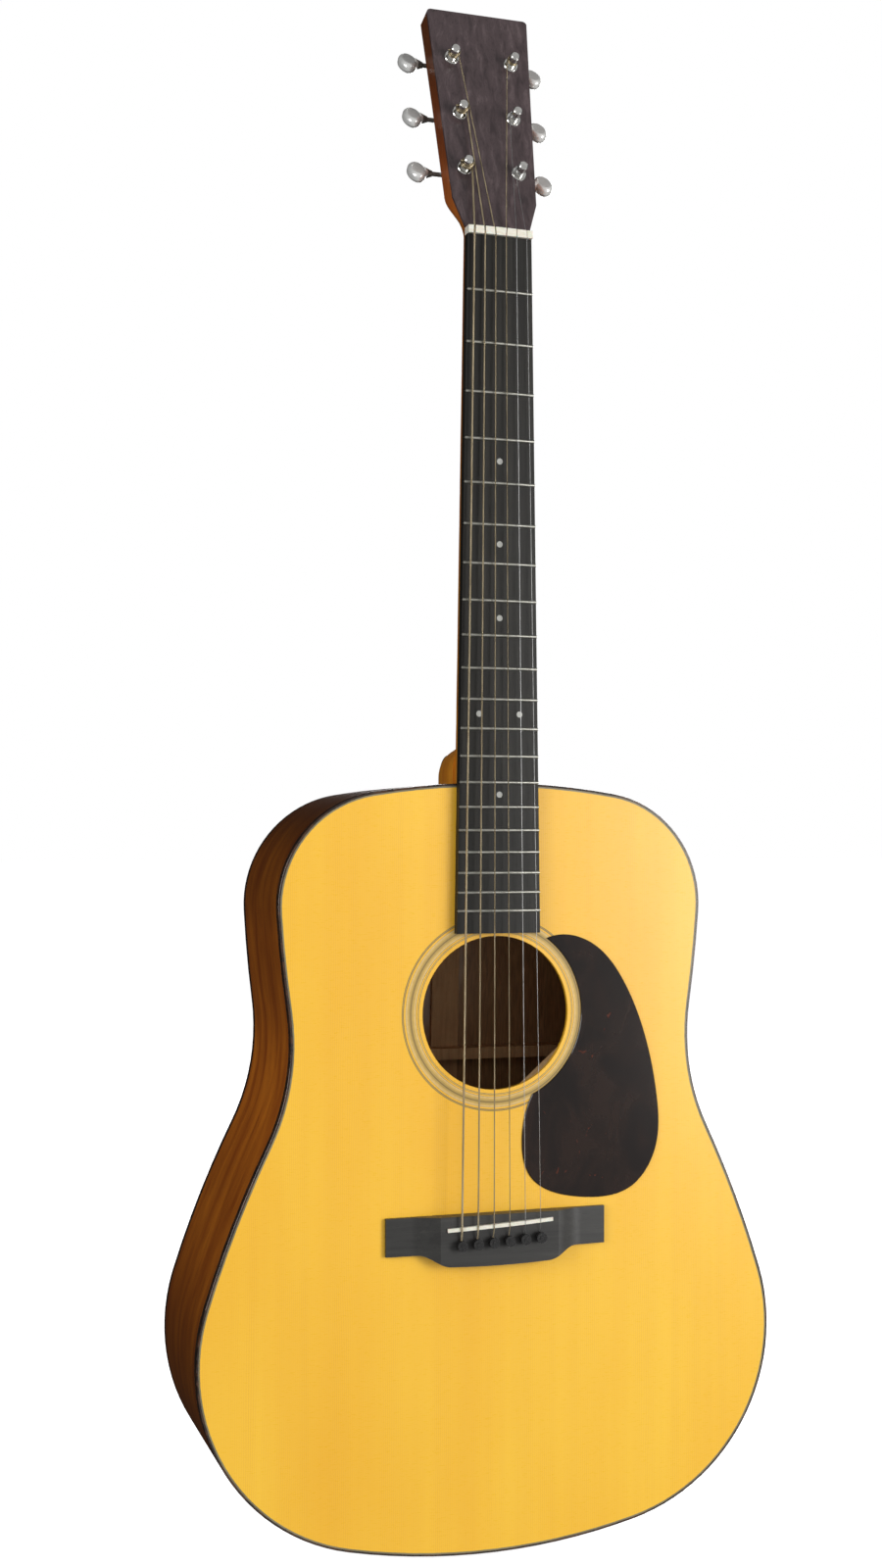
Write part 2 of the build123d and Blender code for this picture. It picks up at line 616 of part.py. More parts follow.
def bridge_pins():
    """Six pins: tapered fluted shank, collar, flat head and inlaid dot."""
    pins = []
    face_y = TOP_Y - BRIDGE_HEIGHT
    for x, z in pin_places():
        plane = Plane(origin=(x, face_y, z), x_dir=(1, 0, 0), z_dir=(0, -1, 0))
        shank = Pos(0, 0, -PIN_LENGTH / 2) * Cone(PIN_TIP_RADIUS, PIN_RADIUS, PIN_LENGTH)
        collar = Pos(0, 0, PIN_COLLAR_HEIGHT / 2) * Cylinder(PIN_RADIUS + 0.5, PIN_COLLAR_HEIGHT)
        head = Pos(0, 0, PIN_COLLAR_HEIGHT + 1.2) * (Sphere(PIN_HEAD_RADIUS)
                                                    & Box(9, 9, 2.4))
        dot = Pos(0, 0, PIN_COLLAR_HEIGHT + 2.4) * Cylinder(1.4, 0.6)
        flute = block(-PIN_FLUTE_WIDTH / 2, PIN_FLUTE_WIDTH / 2, 1.0, 6,
                      -PIN_LENGTH - 1, PIN_COLLAR_HEIGHT)
        pins.append(plane * (shank + collar - flute + head + dot))
    return pins


# ---------------------------------------------------------------- neck

def fret_z(number):
    """Height of a fret; number 0 is the nut's edge."""
    return NUT_Z - SCALE_LENGTH * (1 - 2 ** (-number / OCTAVE))


def board_half_width(z):
    """Half width of the fingerboard at height z."""
    slope = (OCTAVE_HALF_WIDTH - NUT_HALF_WIDTH) / (SCALE_LENGTH / 2)
    return NUT_HALF_WIDTH + (NUT_Z - z) * slope


def head_plane(s, n=0.0):
    """A plane square to the headstock's length, s up its face; its y axis points backwards."""
    tilt = math.radians(HEAD_TILT)
    up = Vector(0, math.sin(tilt), math.cos(tilt))
    out = Vector(0, -math.cos(tilt), math.sin(tilt))
    corner = Vector(0, TOP_Y, NUT_Z + NUT_THICKNESS)
    return Plane(origin=corner + up * s + out * n, x_dir=(1, 0, 0), z_dir=up)


def head_face_plane(s=0.0, x=0.0, n=0.0):
    """The plane of the headstock's front face, s up from the nut, with z pointing out of it."""
    tilt = math.radians(HEAD_TILT)
    up = Vector(0, math.sin(tilt), math.cos(tilt))
    out = Vector(0, -math.cos(tilt), math.sin(tilt))
    corner = Vector(x, TOP_Y, NUT_Z + NUT_THICKNESS)
    return Plane(origin=corner + up * s + out * n, x_dir=(1, 0, 0), z_dir=out)


def section(plane, half_width, depth, round_x, round_d):
    """A neck section: flat in front, with elliptical back corners."""
    flat_x = half_width - round_x
    flat_d = depth - round_d
    edges = [Line((-half_width, 0), (half_width, 0)),
             Line((half_width, 0), (half_width, flat_d)),
             EllipticalCenterArc((flat_x, flat_d), round_x, round_d, start_angle=0, arc_size=90),
             Line((flat_x, depth), (-flat_x, depth)),
             EllipticalCenterArc((-flat_x, flat_d), round_x, round_d, start_angle=90, arc_size=90),
             Line((-half_width, flat_d), (-half_width, 0))]
    return plane * make_face([edge.edge() for edge in edges])


def shaft_section(z):
    """The neck's section at height z, under the fingerboard."""
    part = (NUT_Z - z) / (NUT_Z - BODY_LENGTH)
    depth = SHAFT_DEPTH_NUT + (SHAFT_DEPTH_HEEL - SHAFT_DEPTH_NUT) * part
    width = board_half_width(z)
    plane = Plane(origin=(0, TOP_Y, z), x_dir=(1, 0, 0), z_dir=(0, 0, 1))
    return section(plane, width, depth, 0.95 * width, 0.93 * depth)


def head_half_width(s):
    """Half width of the headstock, s up its face from the nut."""
    stations = ((0.0, NUT_HALF_WIDTH),) + HEAD_WIDTHS
    for (s0, w0), (s1, w1) in zip(stations, stations[1:]):
        if s <= s1:
            return w0 + (w1 - w0) * (s - s0) / (s1 - s0)
    return stations[-1][1]


def head_blank(s0, n0, n1):
    """The headstock's outline as a slab from n0 to n1 behind its front face."""
    points = [(head_half_width(s0), s0)] + [(w, s) for s, w in HEAD_WIDTHS if s > s0]
    points += [(-x, s) for x, s in reversed(points)]
    face = make_face(Polyline(*points, close=True))
    return head_face_plane(n=n0) * extrude(face, amount=n1 - n0)


def heel_reach(depth):
    """How far the heel stands out from the body, depth behind the soundboard's face."""
    sweep = HEEL_SWEEP * math.exp((HEEL_ROOT_DEPTH - depth) / HEEL_SWEEP_DEPTH)
    return HEEL_CAP_REACH + HEEL_TAPER * (HEEL_CAP_DEPTH - depth) + sweep


def heel_half_width(depth):
    """Half width of the heel, depth behind the soundboard's face."""
    part = (depth - HEEL_ROOT_DEPTH) / (HEEL_CAP_DEPTH - HEEL_ROOT_DEPTH)
    return HEEL_ROOT_HALF_WIDTH - (HEEL_ROOT_HALF_WIDTH - HEEL_CAP_HALF_WIDTH) * part ** HEEL_NARROWING


def heel_slice(depth, half_width, reach):
    """One slice of the heel, parallel to the soundboard and rounded away from the body."""
    plane = Plane(origin=(0, TOP_Y + depth, BODY_LENGTH - HEEL_FOOT), x_dir=(1, 0, 0), z_dir=(0, -1, 0))
    return section(plane, half_width, reach + HEEL_FOOT, 0.96 * half_width, 0.8 * reach)


def heel():
    """The heel, lofted through slices that lie closer together near the front, with its ridge."""
    span = HEEL_CAP_DEPTH - HEEL_ROOT_DEPTH
    depths = [HEEL_ROOT_DEPTH + span * (step / HEEL_STEPS) ** 1.6 for step in range(HEEL_STEPS + 1)]
    body = loft([heel_slice(depth, heel_half_width(depth), heel_reach(depth)) for depth in depths])
    ridge = []
    for depth in RIDGE_DEPTHS:
        extra = RIDGE_REACH * math.exp((HEEL_ROOT_DEPTH - depth) / RIDGE_FADE)
        ridge.append(heel_slice(depth, RIDGE_HALF_WIDTH, heel_reach(depth) + extra))
    return body + loft(ridge)


def head_corners():
    """What is cut away where the headstock's two top corners are rounded."""
    radius = HEAD_CORNER_RADIUS
    pieces = []
    for side in (1, -1):
        x = side * (HEAD_WIDTHS[-1][1] - radius)
        middle = HEAD_LENGTH - radius
        square = Box(2 * radius, 2 * radius, 4 * HEAD_THICKNESS)
        square = Pos(x + side * radius, middle + radius, 0) * square
        inside = Pos(x, middle, 0) * Cylinder(radius, 4 * HEAD_THICKNESS)
        pieces.append(head_face_plane() * (square - inside))
    return pieces


def neck():
    """Shaft, heel, tenon and headstock in one piece of wood, with their bores."""
    shaft = loft([shaft_section(BODY_LENGTH - HEEL_FOOT), shaft_section(NUT_Z)], ruled=True)
    sections = [shaft_section(NUT_Z)]
    for s, round_share, round_depth in ((8, 0.8, 0.85), (16, 0.5, 0.6), (24, 0.2, 0.3)):
        width = head_half_width(s)
        sections.append(section(head_plane(s), width, HEAD_THICKNESS, round_share * width,
                                round_depth * HEAD_THICKNESS))
    ends = [section(head_plane(s), head_half_width(s), HEAD_THICKNESS, HEAD_EDGE_ROUND, HEAD_EDGE_ROUND)
            for s in (32, HEAD_WIDTHS[1][0], HEAD_LENGTH)]
    throat = loft(sections + [ends[0]])
    head = loft(ends, ruled=True)
    wood = shaft + heel() - slab(0, TOP_Y, -TOP_Y + 1)
    wood = wood + tenon() + throat + head - overlay_blank(3 * HEAD_THICKNESS)
    wood -= head_corners()
    wood -= truss_bore(BODY_LENGTH - 30, ROD_TOP_Z, ROD_BORE_RADIUS)
    wood -= truss_bore(ROD_TOP_Z - ROD_ANCHOR_LENGTH, ROD_TOP_Z, ROD_ANCHOR_RADIUS)
    for s, x in tuner_places():
        wood -= head_face_plane(s, x) * Cylinder(BUSHING_RADIUS, 3 * HEAD_THICKNESS)
    for plane in tuner_screw_planes():
        wood -= plane * Cylinder(SCREW_RADIUS, 2 * SCREW_LENGTH)
    return wood


def overlay_blank(thickness):
    """A plate on the headstock's face that ends square against the nut."""
    plate = head_blank(-8, 0, thickness)
    return plate & block(-60, 60, TOP_Y - 60, -TOP_Y, NUT_Z + NUT_THICKNESS, NUT_Z + 2 * HEAD_LENGTH)


def headstock_overlay():
    """The veneer on the headstock's face, with the tuner holes."""
    plate = overlay_blank(OVERLAY_THICKNESS) - head_corners()
    for s, x in tuner_places():
        plate -= head_face_plane(s, x) * Cylinder(BUSHING_RADIUS, 3 * HEAD_THICKNESS)
    return plate


def heel_cap():
    """The plate over the end of the heel."""
    face = heel_slice(HEEL_CAP_DEPTH, HEEL_CAP_HALF_WIDTH, HEEL_CAP_REACH)
    return extrude(face, amount=HEEL_CAP_THICKNESS, dir=(0, 1, 0)) - slab(0, TOP_Y, -TOP_Y + 1)


def fret_tang(number):
    """The flat part of a fret that sits in the fingerboard's slot."""
    z = fret_z(number)
    width = board_half_width(z)
    foot = TOP_Y - FINGERBOARD_THICKNESS + FRET_TANG_DEPTH
    bar = block(-width, width, TOP_Y - 20, foot, z - FRET_TANG_WIDTH / 2, z + FRET_TANG_WIDTH / 2)
    return bar & crowned_volume(FINGERBOARD_THICKNESS)


def frets():
    """Each fret is a round crown on a tang, curved like the fingerboard."""
    pieces = []
    axis_y = TOP_Y - FINGERBOARD_THICKNESS + FINGERBOARD_RADIUS
    for number in range(1, FRET_COUNT + 1):
        z = fret_z(number)
        width = board_half_width(z) - 0.2
        half = FRET_CROWN_WIDTH / 2
        arc = ThreePointArc((FINGERBOARD_RADIUS, -half), (FINGERBOARD_RADIUS + FRET_CROWN_HEIGHT, 0),
                            (FINGERBOARD_RADIUS, half))
        base = Line((FINGERBOARD_RADIUS, half), (FINGERBOARD_RADIUS, -half))
        profile = make_face([arc.edge(), base.edge()])
        # revolved about the axis of the fingerboard's own cylinder, and cut to its width
        plane = Plane(origin=(0, axis_y, z), x_dir=(0, -1, 0), z_dir=(1, 0, 0))
        sweep_angle = 2 * math.degrees(math.asin(width / FINGERBOARD_RADIUS))
        wire = revolve(plane * profile, Axis((0, axis_y, z), (0, 0, 1)), sweep_angle)
        wire = wire.rotate(Axis((0, axis_y, z), (0, 0, 1)), -sweep_angle / 2)
        pieces.append(wire + fret_tang(number))
    return pieces


def dots():
    """The round inlays between the frets, two at the octave."""
    places = [(0, (fret_z(n) + fret_z(n - 1)) / 2) for n in SINGLE_DOT_FRETS]
    octave_z = (fret_z(OCTAVE) + fret_z(OCTAVE - 1)) / 2
    places += [(DOUBLE_DOT_OFFSET, octave_z), (-DOUBLE_DOT_OFFSET, octave_z)]
    face_y = TOP_Y - FINGERBOARD_THICKNESS
    return [rod((x, face_y - 5, z), (x, face_y + crown(x) + DOT_DEPTH, z), DOT_RADIUS)
            & crowned_volume(FINGERBOARD_THICKNESS) for x, z in places]


def fingerboard():
    """The tapered board with its slots and inlay holes."""
    points = [(-board_half_width(FINGERBOARD_END_Z), FINGERBOARD_END_Z),
              (board_half_width(FINGERBOARD_END_Z), FINGERBOARD_END_Z),
              (NUT_HALF_WIDTH, NUT_Z), (-NUT_HALF_WIDTH, NUT_Z)]
    face = make_face(Polyline(*[(x, TOP_Y, z) for x, z in points], close=True))
    board = extrude(face, amount=FINGERBOARD_THICKNESS, dir=(0, -1, 0))
    board = board & crowned_volume(FINGERBOARD_THICKNESS)
    for number in range(1, FRET_COUNT + 1):
        board -= fret_tang(number)
    for dot in dots():
        board -= dot
    return board


def nut():
    """The nut, crowned like the fingerboard and slotted for the strings."""
    blank = block(-NUT_HALF_WIDTH, NUT_HALF_WIDTH, TOP_Y - 2 * NUT_HEIGHT, TOP_Y,
                  NUT_Z, NUT_Z + NUT_THICKNESS)
    blank = blank & crowned_volume(NUT_HEIGHT)
    for index in range(len(STRING_DIAMETERS)):
        before, corner, after = string_points(index)[-3:]
        for toward in (before, after):
            direction = (toward - corner).normalized()
            plane = Plane(origin=corner, x_dir=(1, 0, 0), z_dir=direction)
            width = STRING_DIAMETERS[index] + 0.1
            slot = block(-width / 2, width / 2, 0, 6, -0.4, 12)
            if (plane.y_dir).Y > 0:
                slot = block(-width / 2, width / 2, -6, 0, -0.4, 12)
            blank -= plane * (slot + Pos(0, 0, 5.8) * Cylinder(width / 2, 12.4))
    return blank


def truss_rod():
    """The rod in the neck and the anchor at its upper end."""
    bar = truss_bore(ROD_END_Z, ROD_TOP_Z, ROD_RADIUS)
    return bar + truss_bore(ROD_TOP_Z - ROD_ANCHOR_LENGTH, ROD_TOP_Z, ROD_ANCHOR_RADIUS)


def truss_rod_nut():
    """The nut on the rod's lower end, with a hexagon socket for a key."""
    body = truss_bore(ROD_NUT_TOP_Z - ROD_NUT_LENGTH, ROD_NUT_TOP_Z, ROD_NUT_RADIUS)
    body -= truss_bore(ROD_END_Z - RUNNING_CLEARANCE, ROD_NUT_TOP_Z + 1, ROD_RADIUS + RUNNING_CLEARANCE)
    key = RegularPolygon(KEY_FLATS / 2, 6, major_radius=False)
    socket = extrude(Plane(origin=(0, ROD_Y, ROD_NUT_TOP_Z - ROD_NUT_LENGTH - 1)) * key, amount=6)
    return body - socket


# ---------------------------------------------------------------- strings

def string_points(index):
    """Centre line of one string: ball, pin hole, bridge edge, saddle, nut, tuner post."""
    radius = STRING_DIAMETERS[index] / 2
    x, pin_z = pin_places()[index]
    under = INNER_Y + BRIDGE_PLATE_THICKNESS
    flute_z = pin_z + PIN_FLUTE_OFFSET
    over_bridge = TOP_Y - BRIDGE_HEIGHT - radius - 0.35
    saddle_y = TOP_Y - SADDLE_HEIGHT + crown(x) - radius
    nut_x = string_xs(NUT_STRING_SPACING)[index]
    nut_y = TOP_Y - NUT_STRING_HEIGHT + crown(nut_x) - radius
    s, post_x = tuner_place(index + 1)
    inward = -1 if post_x > 0 else 1
    end_x = post_x + inward * (POST_RADIUS + radius + 0.3)
    end = head_face_plane(s, end_x, OVERLAY_THICKNESS + 3.4).origin
    return [Vector(x, under + BALL_RADIUS + 0.2, pin_z + PIN_RADIUS + BALL_RADIUS + 0.1),
            Vector(x, under + 0.3, flute_z),
            Vector(x, over_bridge, flute_z),
            Vector(x, saddle_y, saddle_z(x) - SADDLE_THICKNESS / 2 - 0.2),
            Vector(nut_x, nut_y, NUT_Z + 0.6),
            end]


def string(index):
    """One string with its ball end, as a round wire along its path."""
    radius = STRING_DIAMETERS[index] / 2
    points = string_points(index)
    path = FilletPolyline(*points, radius=(0.8, 0.9, 1.5, 3.0))
    start = Plane(origin=points[0], z_dir=points[1] - points[0])
    wire = sweep(start * Circle(radius), path=path)
    half_ball = Vector(BALL_LENGTH / 2, 0, 0)
    ball = rod(points[0] - half_ball, points[0] + half_ball, BALL_RADIUS)
    return wire + ball


# ---------------------------------------------------------------- tuners

def tuner_place(number):
    """Height up the headstock and x of tuner 1 (treble, lowest) to tuner 6 (bass, lowest)."""
    side = 1 if number <= 3 else -1
    row = number - 1 if number <= 3 else 6 - number
    s, x = POST_PLACES[row]
    return s, side * x


def tuner_places():
    """The places of all six tuners, tuner 1 first."""
    return [tuner_place(number) for number in range(1, 7)]


def tuner_screw_planes():
    """Planes on the back of the headstock, z pointing backwards, one for each plate screw."""
    planes = []
    for s, x in tuner_places():
        side = 1 if x > 0 else -1
        for out, up in PLATE_SCREWS:
            face = head_face_plane(s + up, x + side * out, -HEAD_THICKNESS)
            planes.append(Plane(origin=face.origin, x_dir=(1, 0, 0), z_dir=face.z_dir * -1))
    return planes


def tuner_plate(number):
    """The plate on the back of the headstock, with two ears that carry the worm shaft."""
    s, x = tuner_place(number)
    side = 1 if x > 0 else -1
    outline = Pos(side * 0.5, 4.0) * RectangleRounded(17, 24, 3.0)
    body = extrude(outline, amount=-PLATE_THICKNESS)
    body = Pos(0, 0, -HEAD_THICKNESS) * body
    depth = WORM_N - 3.0
    for inner, outer in ((EAR_INNER, EAR_OUTER), (-EAR_OUTER, -EAR_INNER)):
        body += block(inner, outer, WORM_OFFSET - 2.6, WORM_OFFSET + 3.0, -HEAD_THICKNESS - 0.5, depth)
    shaft_hole = WORM_SHAFT_RADIUS + RUNNING_CLEARANCE
    body -= rod((-10, WORM_OFFSET, WORM_N), (10, WORM_OFFSET, WORM_N), shaft_hole)
    post_hole = POST_RADIUS + RUNNING_CLEARANCE
    body -= rod((0, 0, -HEAD_THICKNESS + 1), (0, 0, -HEAD_THICKNESS - 5), post_hole)
    for out, up in PLATE_SCREWS:
        body -= Pos(side * out, up, -HEAD_THICKNESS) * Cylinder(SCREW_RADIUS, 6)
    return head_face_plane(s, x) * body


def tuner_screws():
    """The cross-slotted screws that hold the tuner plates."""
    screws = []
    for plane in tuner_screw_planes():
        shank = Pos(0, 0, -SCREW_LENGTH / 2) * Cylinder(SCREW_RADIUS, SCREW_LENGTH)
        neck_of_screw = Pos(0, 0, PLATE_THICKNESS / 2) * Cylinder(SCREW_RADIUS, PLATE_THICKNESS)
        head = Cylinder(SCREW_HEAD_RADIUS, SCREW_HEAD_HEIGHT)
        head = Pos(0, 0, PLATE_THICKNESS + SCREW_HEAD_HEIGHT / 2) * head
        slots = Box(0.5, 2.6, 1.4) + Box(2.6, 0.5, 1.4)
        head -= Pos(0, 0, PLATE_THICKNESS + SCREW_HEAD_HEIGHT) * slots
        screws.append(plane * (shank + neck_of_screw + head))
    return screws


def tuner_bushing(number):
    """The flanged sleeve in the headstock that guides a post."""
    s, x = tuner_place(number)
    tube = Pos(0, 0, OVERLAY_THICKNESS - BUSHING_LENGTH / 2) * Cylinder(BUSHING_RADIUS, BUSHING_LENGTH)
    flange = Pos(0, 0, OVERLAY_THICKNESS + BUSHING_FLANGE_HEIGHT / 2) * Cylinder(BUSHING_FLANGE,
                                                                               BUSHING_FLANGE_HEIGHT)
    flange = chamfer(flange.edges().group_by(Axis.Z)[-1], 0.5)
    body = tube + flange - Cylinder(POST_RADIUS + RUNNING_CLEARANCE, 4 * BUSHING_LENGTH)
    return head_face_plane(s, x) * body


def tuner_post(number):
    """The post with its waist and string hole; its foot carries the gear."""
    s, x = tuner_place(number)
    foot = WORM_N - GEAR_THICKNESS / 2
    gear_top = WORM_N + GEAR_THICKNESS / 2
    post = rod((0, 0, gear_top), (0, 0, POST_TOP), POST_RADIUS)
    post = chamfer(post.edges().group_by(Axis.Z)[-1], 0.6)
    waist = Pos(0, 0, 5.6) * (Cylinder(POST_RADIUS + 1, 4.4) - Cylinder(POST_WAIST_RADIUS, 4.4))
    post -= waist
    post -= rod((-10, 0, 8.9), (10, 0, 8.9), 0.9)
    post += rod((0, 0, gear_top), (0, 0, gear_top + 2.6), 4.2)
    post += rod((0, 0, foot), (0, 0, gear_top + 0.5), 2.2)
    return head_face_plane(s, x) * post


def gear_gap(angle):
    """A wedge between two teeth, leaning with the worm's lead."""
    low = GEAR_PITCH_RADIUS - DEDENDUM
    high = GEAR_PITCH_RADIUS + 2 * ADDENDUM
    half_low = GAP_HALF - DEDENDUM * FLANK
    half_high = GAP_HALF + 2 * ADDENDUM * FLANK
    lean = WORM_LEAD / (2 * math.pi * WORM_PITCH_RADIUS)
    tall = GEAR_THICKNESS + 1
    faces = []
    for n in (-tall / 2, tall / 2):
        shift = -lean * n
        points = ((shift - half_low, low), (shift + half_low, low), (shift + half_high, high),
                  (shift - half_high, high))
        faces.append(make_face(Polyline(*[(px, py, n) for px, py in points], close=True)))
    return Rot(0, 0, angle) * loft(faces, ruled=True)


def tuner_gear(number):
    """The gear on the post's foot, held by a small slotted screw."""
    s, x = tuner_place(number)
    wheel = Cylinder(GEAR_PITCH_RADIUS + ADDENDUM, GEAR_THICKNESS)
    for tooth in range(GEAR_TEETH):
        wheel -= gear_gap(tooth * 360 / GEAR_TEETH)
    wheel -= Cylinder(2.2, 2 * GEAR_THICKNESS)
    head = Pos(0, 0, -GEAR_THICKNESS / 2 - 0.6) * Cylinder(2.8, 1.2)
    head -= Pos(0, 0, -GEAR_THICKNESS / 2 - 1.2) * Box(6, 0.7, 1.2)
    plane = head_face_plane(s, x, WORM_N)
    return plane * wheel, plane * head


def worm_thread():
    """One right-handed thread round the x axis, centred on the side that faces the gear."""
    low = WORM_PITCH_RADIUS - DEDENDUM - 0.2
    high = WORM_PITCH_RADIUS + ADDENDUM
    half_low = THREAD_HALF + (DEDENDUM + 0.2) * FLANK
    half_high = THREAD_HALF - ADDENDUM * FLANK
    half_length = WORM_LENGTH / 2 - half_low
    helix = Helix(WORM_LEAD, 2 * half_length, WORM_PITCH_RADIUS)
    start = helix @ 0
    section_plane = Plane(origin=start, x_dir=(1, 0, 0), z_dir=(0, 1, 0))
    points = ((low, -half_low), (high, -half_high), (high, half_high), (low, half_low))
    local = [(r - WORM_PITCH_RADIUS, -z) for r, z in points]
    profile = section_plane * make_face(Polyline(*local, close=True))
    thread = sweep(profile, path=helix, is_frenet=True)
    # turned so that a thread stands in the middle of the gap that faces it
    phase = 270 - 360 * half_length / WORM_LEAD
    return Rot(0, 0, phase) * Pos(0, 0, -half_length) * thread


def tuner_knob(number):
    """Worm, shaft and button in one piece; it turns the gear."""
    s, x = tuner_place(number)
    side = 1 if x > 0 else -1
    reach = KNOB_CENTRE_X - abs(x)
    worm = Cylinder(WORM_PITCH_RADIUS - DEDENDUM, WORM_LENGTH) + worm_thread()
    worm = Rot(0, 90, 0) * worm
    shaft = rod((-side * (EAR_OUTER + 0.8), 0, 0), (side * (reach - 2), 0, 0), WORM_SHAFT_RADIUS)
    collar_end = reach - KNOB_HALF_LENGTH + 1.3
    collar = Rot(0, side * 90, 0) * Cone(COLLAR_NARROW, COLLAR_WIDE, COLLAR_LENGTH)
    collar = Pos(side * (collar_end - COLLAR_LENGTH / 2), 0, 0) * collar
    button = extrude(Ellipse(KNOB_HALF_LENGTH, KNOB_HALF_HEIGHT), amount=KNOB_THICKNESS / 2, both=True)
    button = Rot(-KNOB_LEAN, 0, 0) * fillet(button.edges(), KNOB_ROUND)
    body = worm + shaft + collar + Pos(side * reach, 0, 0) * button
    return head_face_plane(s + WORM_OFFSET, x, WORM_N) * body


# ---------------------------------------------------------------- fittings

def end_pin():
    """The strap pin in the tail: a flared foot, a waist, and a flat-edged head."""
    waist = END_PIN_WAIST
    foot_z = -2.2
    head_top = -END_PIN_LENGTH + END_PIN_LAND
    profile = Polyline((0, 0), (END_PIN_HEAD_RADIUS - 0.6, 0), (END_PIN_HEAD_RADIUS - 0.6, foot_z),
                       (waist, foot_z - 1.8), (waist, head_top + 1.4), (END_PIN_HEAD_RADIUS, head_top),
                       (END_PIN_HEAD_RADIUS, -END_PIN_LENGTH), (0, -END_PIN_LENGTH), close=True)
    face = Plane.XZ * make_face(profile)
    button = revolve(face, Axis.Z)
    return button + rod((0, 0, -1), (0, 0, TAIL_BLOCK_Z - 4), END_PIN_SHANK)


def pickguard():
    """A thin plate beside the soundhole; its inner edge follows the rosette."""
    ring = PICKGUARD_RING
    top_angle = math.radians(54)
    low_angle = math.radians(-65)
    middle = math.radians(-5)
    hole_side = ThreePointArc(*[(ring * math.cos(a), TOP_Y, HOLE_Z + ring * math.sin(a))
                                for a in (top_angle, middle, low_angle)])
    low = hole_side @ 1
    high = hole_side @ 0
    outer = Spline(low, (18.8, TOP_Y, 280), (24.5, TOP_Y, 246.5), (60, TOP_Y, 231.5), (98, TOP_Y, 237.5),
                   (114.5, TOP_Y, 262), (115.6, TOP_Y, 296), (106.8, TOP_Y, 338), (91, TOP_Y, 375.5),
                   (70, TOP_Y, 400), (50, TOP_Y, 407.2), high)
    face = make_face([hole_side.edge(), outer.edge()])
    plate = extrude(face, amount=PICKGUARD_THICKNESS, dir=(0, -1, 0))
    return chamfer(plate.edges().group_by(Axis.Y)[0], PICKGUARD_BEVEL)


def main():
    os.makedirs("parts", exist_ok=True)
    save("soundboard", soundboard())
    save("rosette", *rosette())
    save("pickguard", pickguard())
    plates, strip = back()
    save("back_plates", plates)
    save("back_strip", strip)
    bass, treble, graft = sides()
    save("side_bass", bass)
    save("side_treble", treble)
    save("end_graft", graft)
    save("top_binding", binding_top())
    save("top_purfling", purfling())
    save("back_binding", binding_back())
    save("kerfed_linings", *linings())
    save("neck_block", neck_block())
    save("tail_block", tail_block())
    save("end_pin", end_pin())
    save("x_braces", *x_braces())
    save("transverse_brace", transverse_brace())
    save("tone_bars", *tone_bars())
    save("finger_braces", *finger_braces())
    save("bridge_plate", bridge_plate())
    save("back_braces", *back_braces())
    save("bridge", bridge())
    save("saddle", saddle())
    save("bridge_pins", *bridge_pins())
    save("neck", neck())
    save("headstock_overlay", headstock_overlay())
    save("heel_cap", heel_cap())
    save("fingerboard", fingerboard())
    save("frets", *frets())
    save("position_dots", *dots())
    save("nut", nut())
    save("truss_rod", truss_rod())
    save("truss_rod_nut", truss_rod_nut())
    save("tuner_screws", *tuner_screws())
    save("tuner_plates", *[tuner_plate(number) for number in range(1, 7)])
    save("tuner_bushings", *[tuner_bushing(number) for number in range(1, 7)])
    for number in range(1, 7):
        save(f"string_{number}", string(number - 1))
        save(f"tuner_{number}_post", tuner_post(number))
        save(f"tuner_{number}_gear", *tuner_gear(number))
        save(f"tuner_{number}_knob", tuner_knob(number))


main()
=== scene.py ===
import bpy
import json
import math
from mathutils import Euler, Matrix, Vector


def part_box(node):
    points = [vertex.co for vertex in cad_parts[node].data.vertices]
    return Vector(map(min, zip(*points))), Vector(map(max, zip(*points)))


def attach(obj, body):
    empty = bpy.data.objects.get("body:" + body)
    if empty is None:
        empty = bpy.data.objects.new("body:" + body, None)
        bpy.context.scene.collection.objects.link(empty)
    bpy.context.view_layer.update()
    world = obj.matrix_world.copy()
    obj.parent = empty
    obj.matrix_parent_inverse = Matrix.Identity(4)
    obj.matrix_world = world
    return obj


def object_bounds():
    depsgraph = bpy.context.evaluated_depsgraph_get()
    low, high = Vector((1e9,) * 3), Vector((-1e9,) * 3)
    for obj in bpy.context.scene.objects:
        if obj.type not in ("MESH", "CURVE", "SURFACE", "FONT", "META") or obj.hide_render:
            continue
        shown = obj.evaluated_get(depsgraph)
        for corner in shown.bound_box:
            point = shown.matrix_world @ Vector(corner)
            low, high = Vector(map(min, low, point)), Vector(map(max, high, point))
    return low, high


# Looks for the acoustic guitar. Metres; +Z up the neck, -Y the front, +X the treble side.
# Patterns, heights and string sizes are in millimetres, as their names and comments say.

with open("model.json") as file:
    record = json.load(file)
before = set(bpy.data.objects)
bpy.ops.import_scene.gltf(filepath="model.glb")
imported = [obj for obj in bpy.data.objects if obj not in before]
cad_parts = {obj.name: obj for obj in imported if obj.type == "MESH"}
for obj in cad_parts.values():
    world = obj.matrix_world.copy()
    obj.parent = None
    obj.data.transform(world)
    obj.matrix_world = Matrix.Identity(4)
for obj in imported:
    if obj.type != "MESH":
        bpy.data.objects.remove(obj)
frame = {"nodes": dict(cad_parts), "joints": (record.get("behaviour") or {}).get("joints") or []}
cad_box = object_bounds()
nodes = frame["nodes"]
joints = {joint["name"]: joint for joint in frame["joints"]}

MM = 0.001
TUNERS = range(1, 7)
WHITE = (1, 1, 1, 1)

# Camera: a little to the bass side, level with the waist
EYE = (-0.4152, -1.2289, 0.4747)
EYE_DEGREES = (89.777, -0.051, -17.965)
FILM_HEIGHT = 36.0
LENS = 43.13
SHIFT = (-0.0013, 0.0360)
CLIP = (0.05, 60.0)

